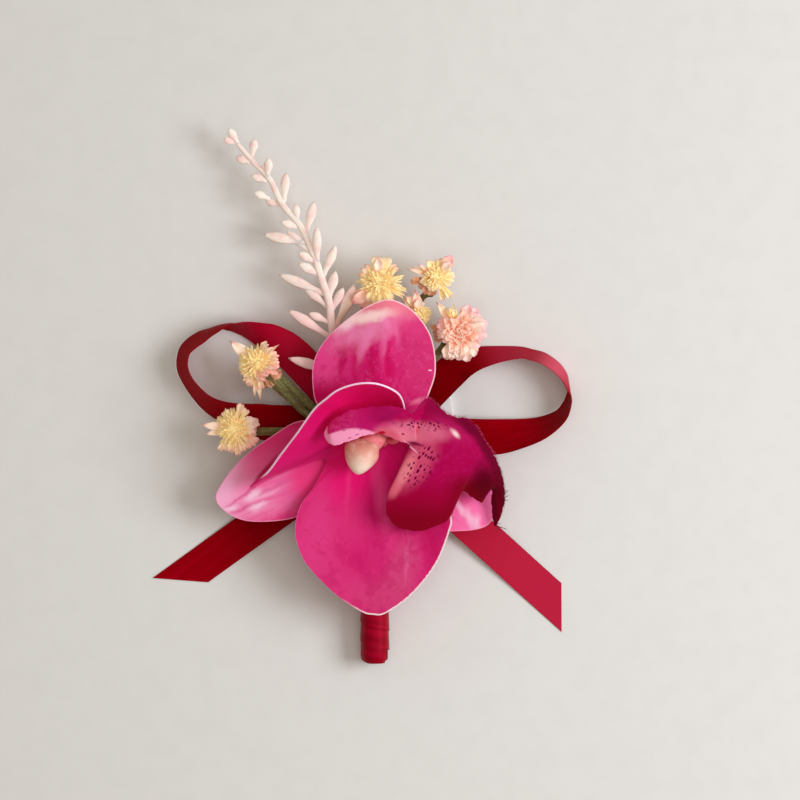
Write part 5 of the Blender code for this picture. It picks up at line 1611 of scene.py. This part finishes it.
# %% Spray
SPRAY_STEM = [
    (-2.5, -6.0, 10.2), (-6.0, 8.0, 10.2), (-9.5, 20.0, 10.0), (-11.3, 30.3, 10.0), (-12.1, 36.6, 9.8),
    (-14.2, 42.9, 9.4), (-16.3, 49.2, 9.0), (-19.7, 56.3, 8.6), (-24.5, 62.1, 8.2), (-27.6, 68.4, 7.8),
    (-31.8, 72.9, 7.4), (-36.6, 78.4, 7.0),
]
SPRAY_BUDS = [
    ((-22.9, 21.6), (-8.9, 17.4)), ((-17.4, 33.4), (-11.6, 30.6)), ((-22.9, 34.2), (-11.2, 26.6)),
    ((-5.2, 41.2), (-10.9, 28.0)), ((-8.2, 40.1), (-11.6, 33.5)), ((-18.8, 40.3), (-11.8, 34.4)),
    ((-10.3, 44.5), (-12.2, 36.6)), ((-25.5, 43.6), (-12.3, 38.0)), ((-20.1, 46.4), (-14.2, 43.0)),
    ((-10.2, 51.2), (-14.0, 42.2)), ((-15.3, 56.2), (-15.2, 45.4)), ((-20.0, 49.2), (-15.4, 46.4)),
    ((-23.3, 55.0), (-16.4, 48.8)), ((-29.4, 54.0), (-17.6, 51.4)), ((-15.9, 62.8), (-18.4, 53.5)),
    ((-24.7, 57.3), (-19.6, 55.6)), ((-20.9, 62.1), (-20.3, 57.0)), ((-28.8, 62.8), (-24.7, 61.7)),
    ((-31.8, 65.0), (-27.4, 63.2)), ((-23.4, 70.3), (-24.0, 62.1)), ((-32.5, 69.5), (-28.0, 67.8)),
    ((-27.9, 74.2), (-28.4, 68.4)), ((-36.6, 74.2), (-32.5, 72.8)), ((-31.6, 79.1), (-32.4, 74.2)),
    ((-39.7, 79.1), (-36.0, 77.8)), ((-38.4, 81.9), (-35.8, 77.4)),
]


def lay_bud(u, v):
    """A lance 1 long: a slim stalk, widest past its middle, then a soft point."""
    angle = math.tau * u
    radius = float(np.interp(v, [0, 0.02, 0.3, 0.48, 0.64, 0.8, 0.92, 1],
                             [0, 0.56, 0.5, 0.84, 1, 0.8, 0.4, 0]))
    bend = 0.05 * math.sin(math.pi * v)
    return Vector((radius * math.cos(angle) + bend, v, 0.45 * radius * math.sin(angle)))


bud = lay_round("bud", 8, 11, lay_bud)
templates.append(bud)
spray_line = stem_route(-STEM_OFFSET, STEM_OFFSET, SPRAY_STEM)
stem_radii = [1.1, 1.1, 1.15, 1.15, 1.15, 1.1, 1.0, 0.9, 0.8, 0.6]
spray_stem = lay_round("spray_stem", 16, 260, lay_tube(spray_line, stem_radii, 0.14, 4))
seed = random.Random(7)
stands = []
for tip, root in SPRAY_BUDS:
    height = float(np.interp(root[1], spray_line[:, 1], spray_line[:, 2]))
    start = Vector((*root, height))
    end = Vector((*tip, height + seed.uniform(-1.0, 2.6)))
    length = (end - start).length
    slim = seed.uniform(0.95, 1.12) * (0.95 + 0.035 * length)
    stands.append(stand(at(*start), end - start, Vector((0, 0, 1)), slim * MM, length * MM))
spray = join("blush_spray", [spray_stem] + copies(bud, stands))
blush = Finish("blush_plastic", 0.65, Specular_IOR_Level=0.2, **through_light(0.5, (1.0, 0.6, 0.5), 0.8))
where = blush.place()
_, y, height = blush.parts(where)
patch = blush.noise(where, 0.35, 3.0, 0.5)
grain = blush.noise(where, 2.5, 3.0, 0.6)
tone = blush.over(shade(242, 204, 196), shade(252, 232, 218), blush.band(y, 24.0, 46.0))
tone = blush.over(tone, shade(248, 208, 200), blush.both(blush.band(patch, 0.48, 0.62), 0.7))
tone = blush.over(tone, shade(240, 178, 176), blush.both(blush.band(height, 8.2, 6.2), 0.5))
tone = blush.over(tone, shade(214, 180, 148),
                  blush.both(blush.spot(where, (-7.6, 34.0), (1.0, 6.0), -24, 0.5), 0.7))
blush.relief(grain, 0.05, 0.4)
# The spray glows a little with a painted glow of its own colour.
coat(spray, painted_glow(blush, tone, 0.05))
hand_over(spray, "pink_spray")

# %% Clear the templates away
for template in templates:
    bpy.data.objects.remove(template, do_unlink=True)

# %% [markdown]
# ## The table
#
# The table isn't part of the corsage. It is pale, matt and a little warm.

# %% Table
table = add("plane", "table", size=8.0)
board = Finish("pale_table", 0.8, Specular_IOR_Level=0.2)
where = board.place()
tooth = board.noise(where, 0.15, 4.0, 0.6)
tone = board.over(shade(226, 222, 215), shade(224, 220, 213), board.band(tooth, 0.4, 0.65))
coat(table, board.done(tone))
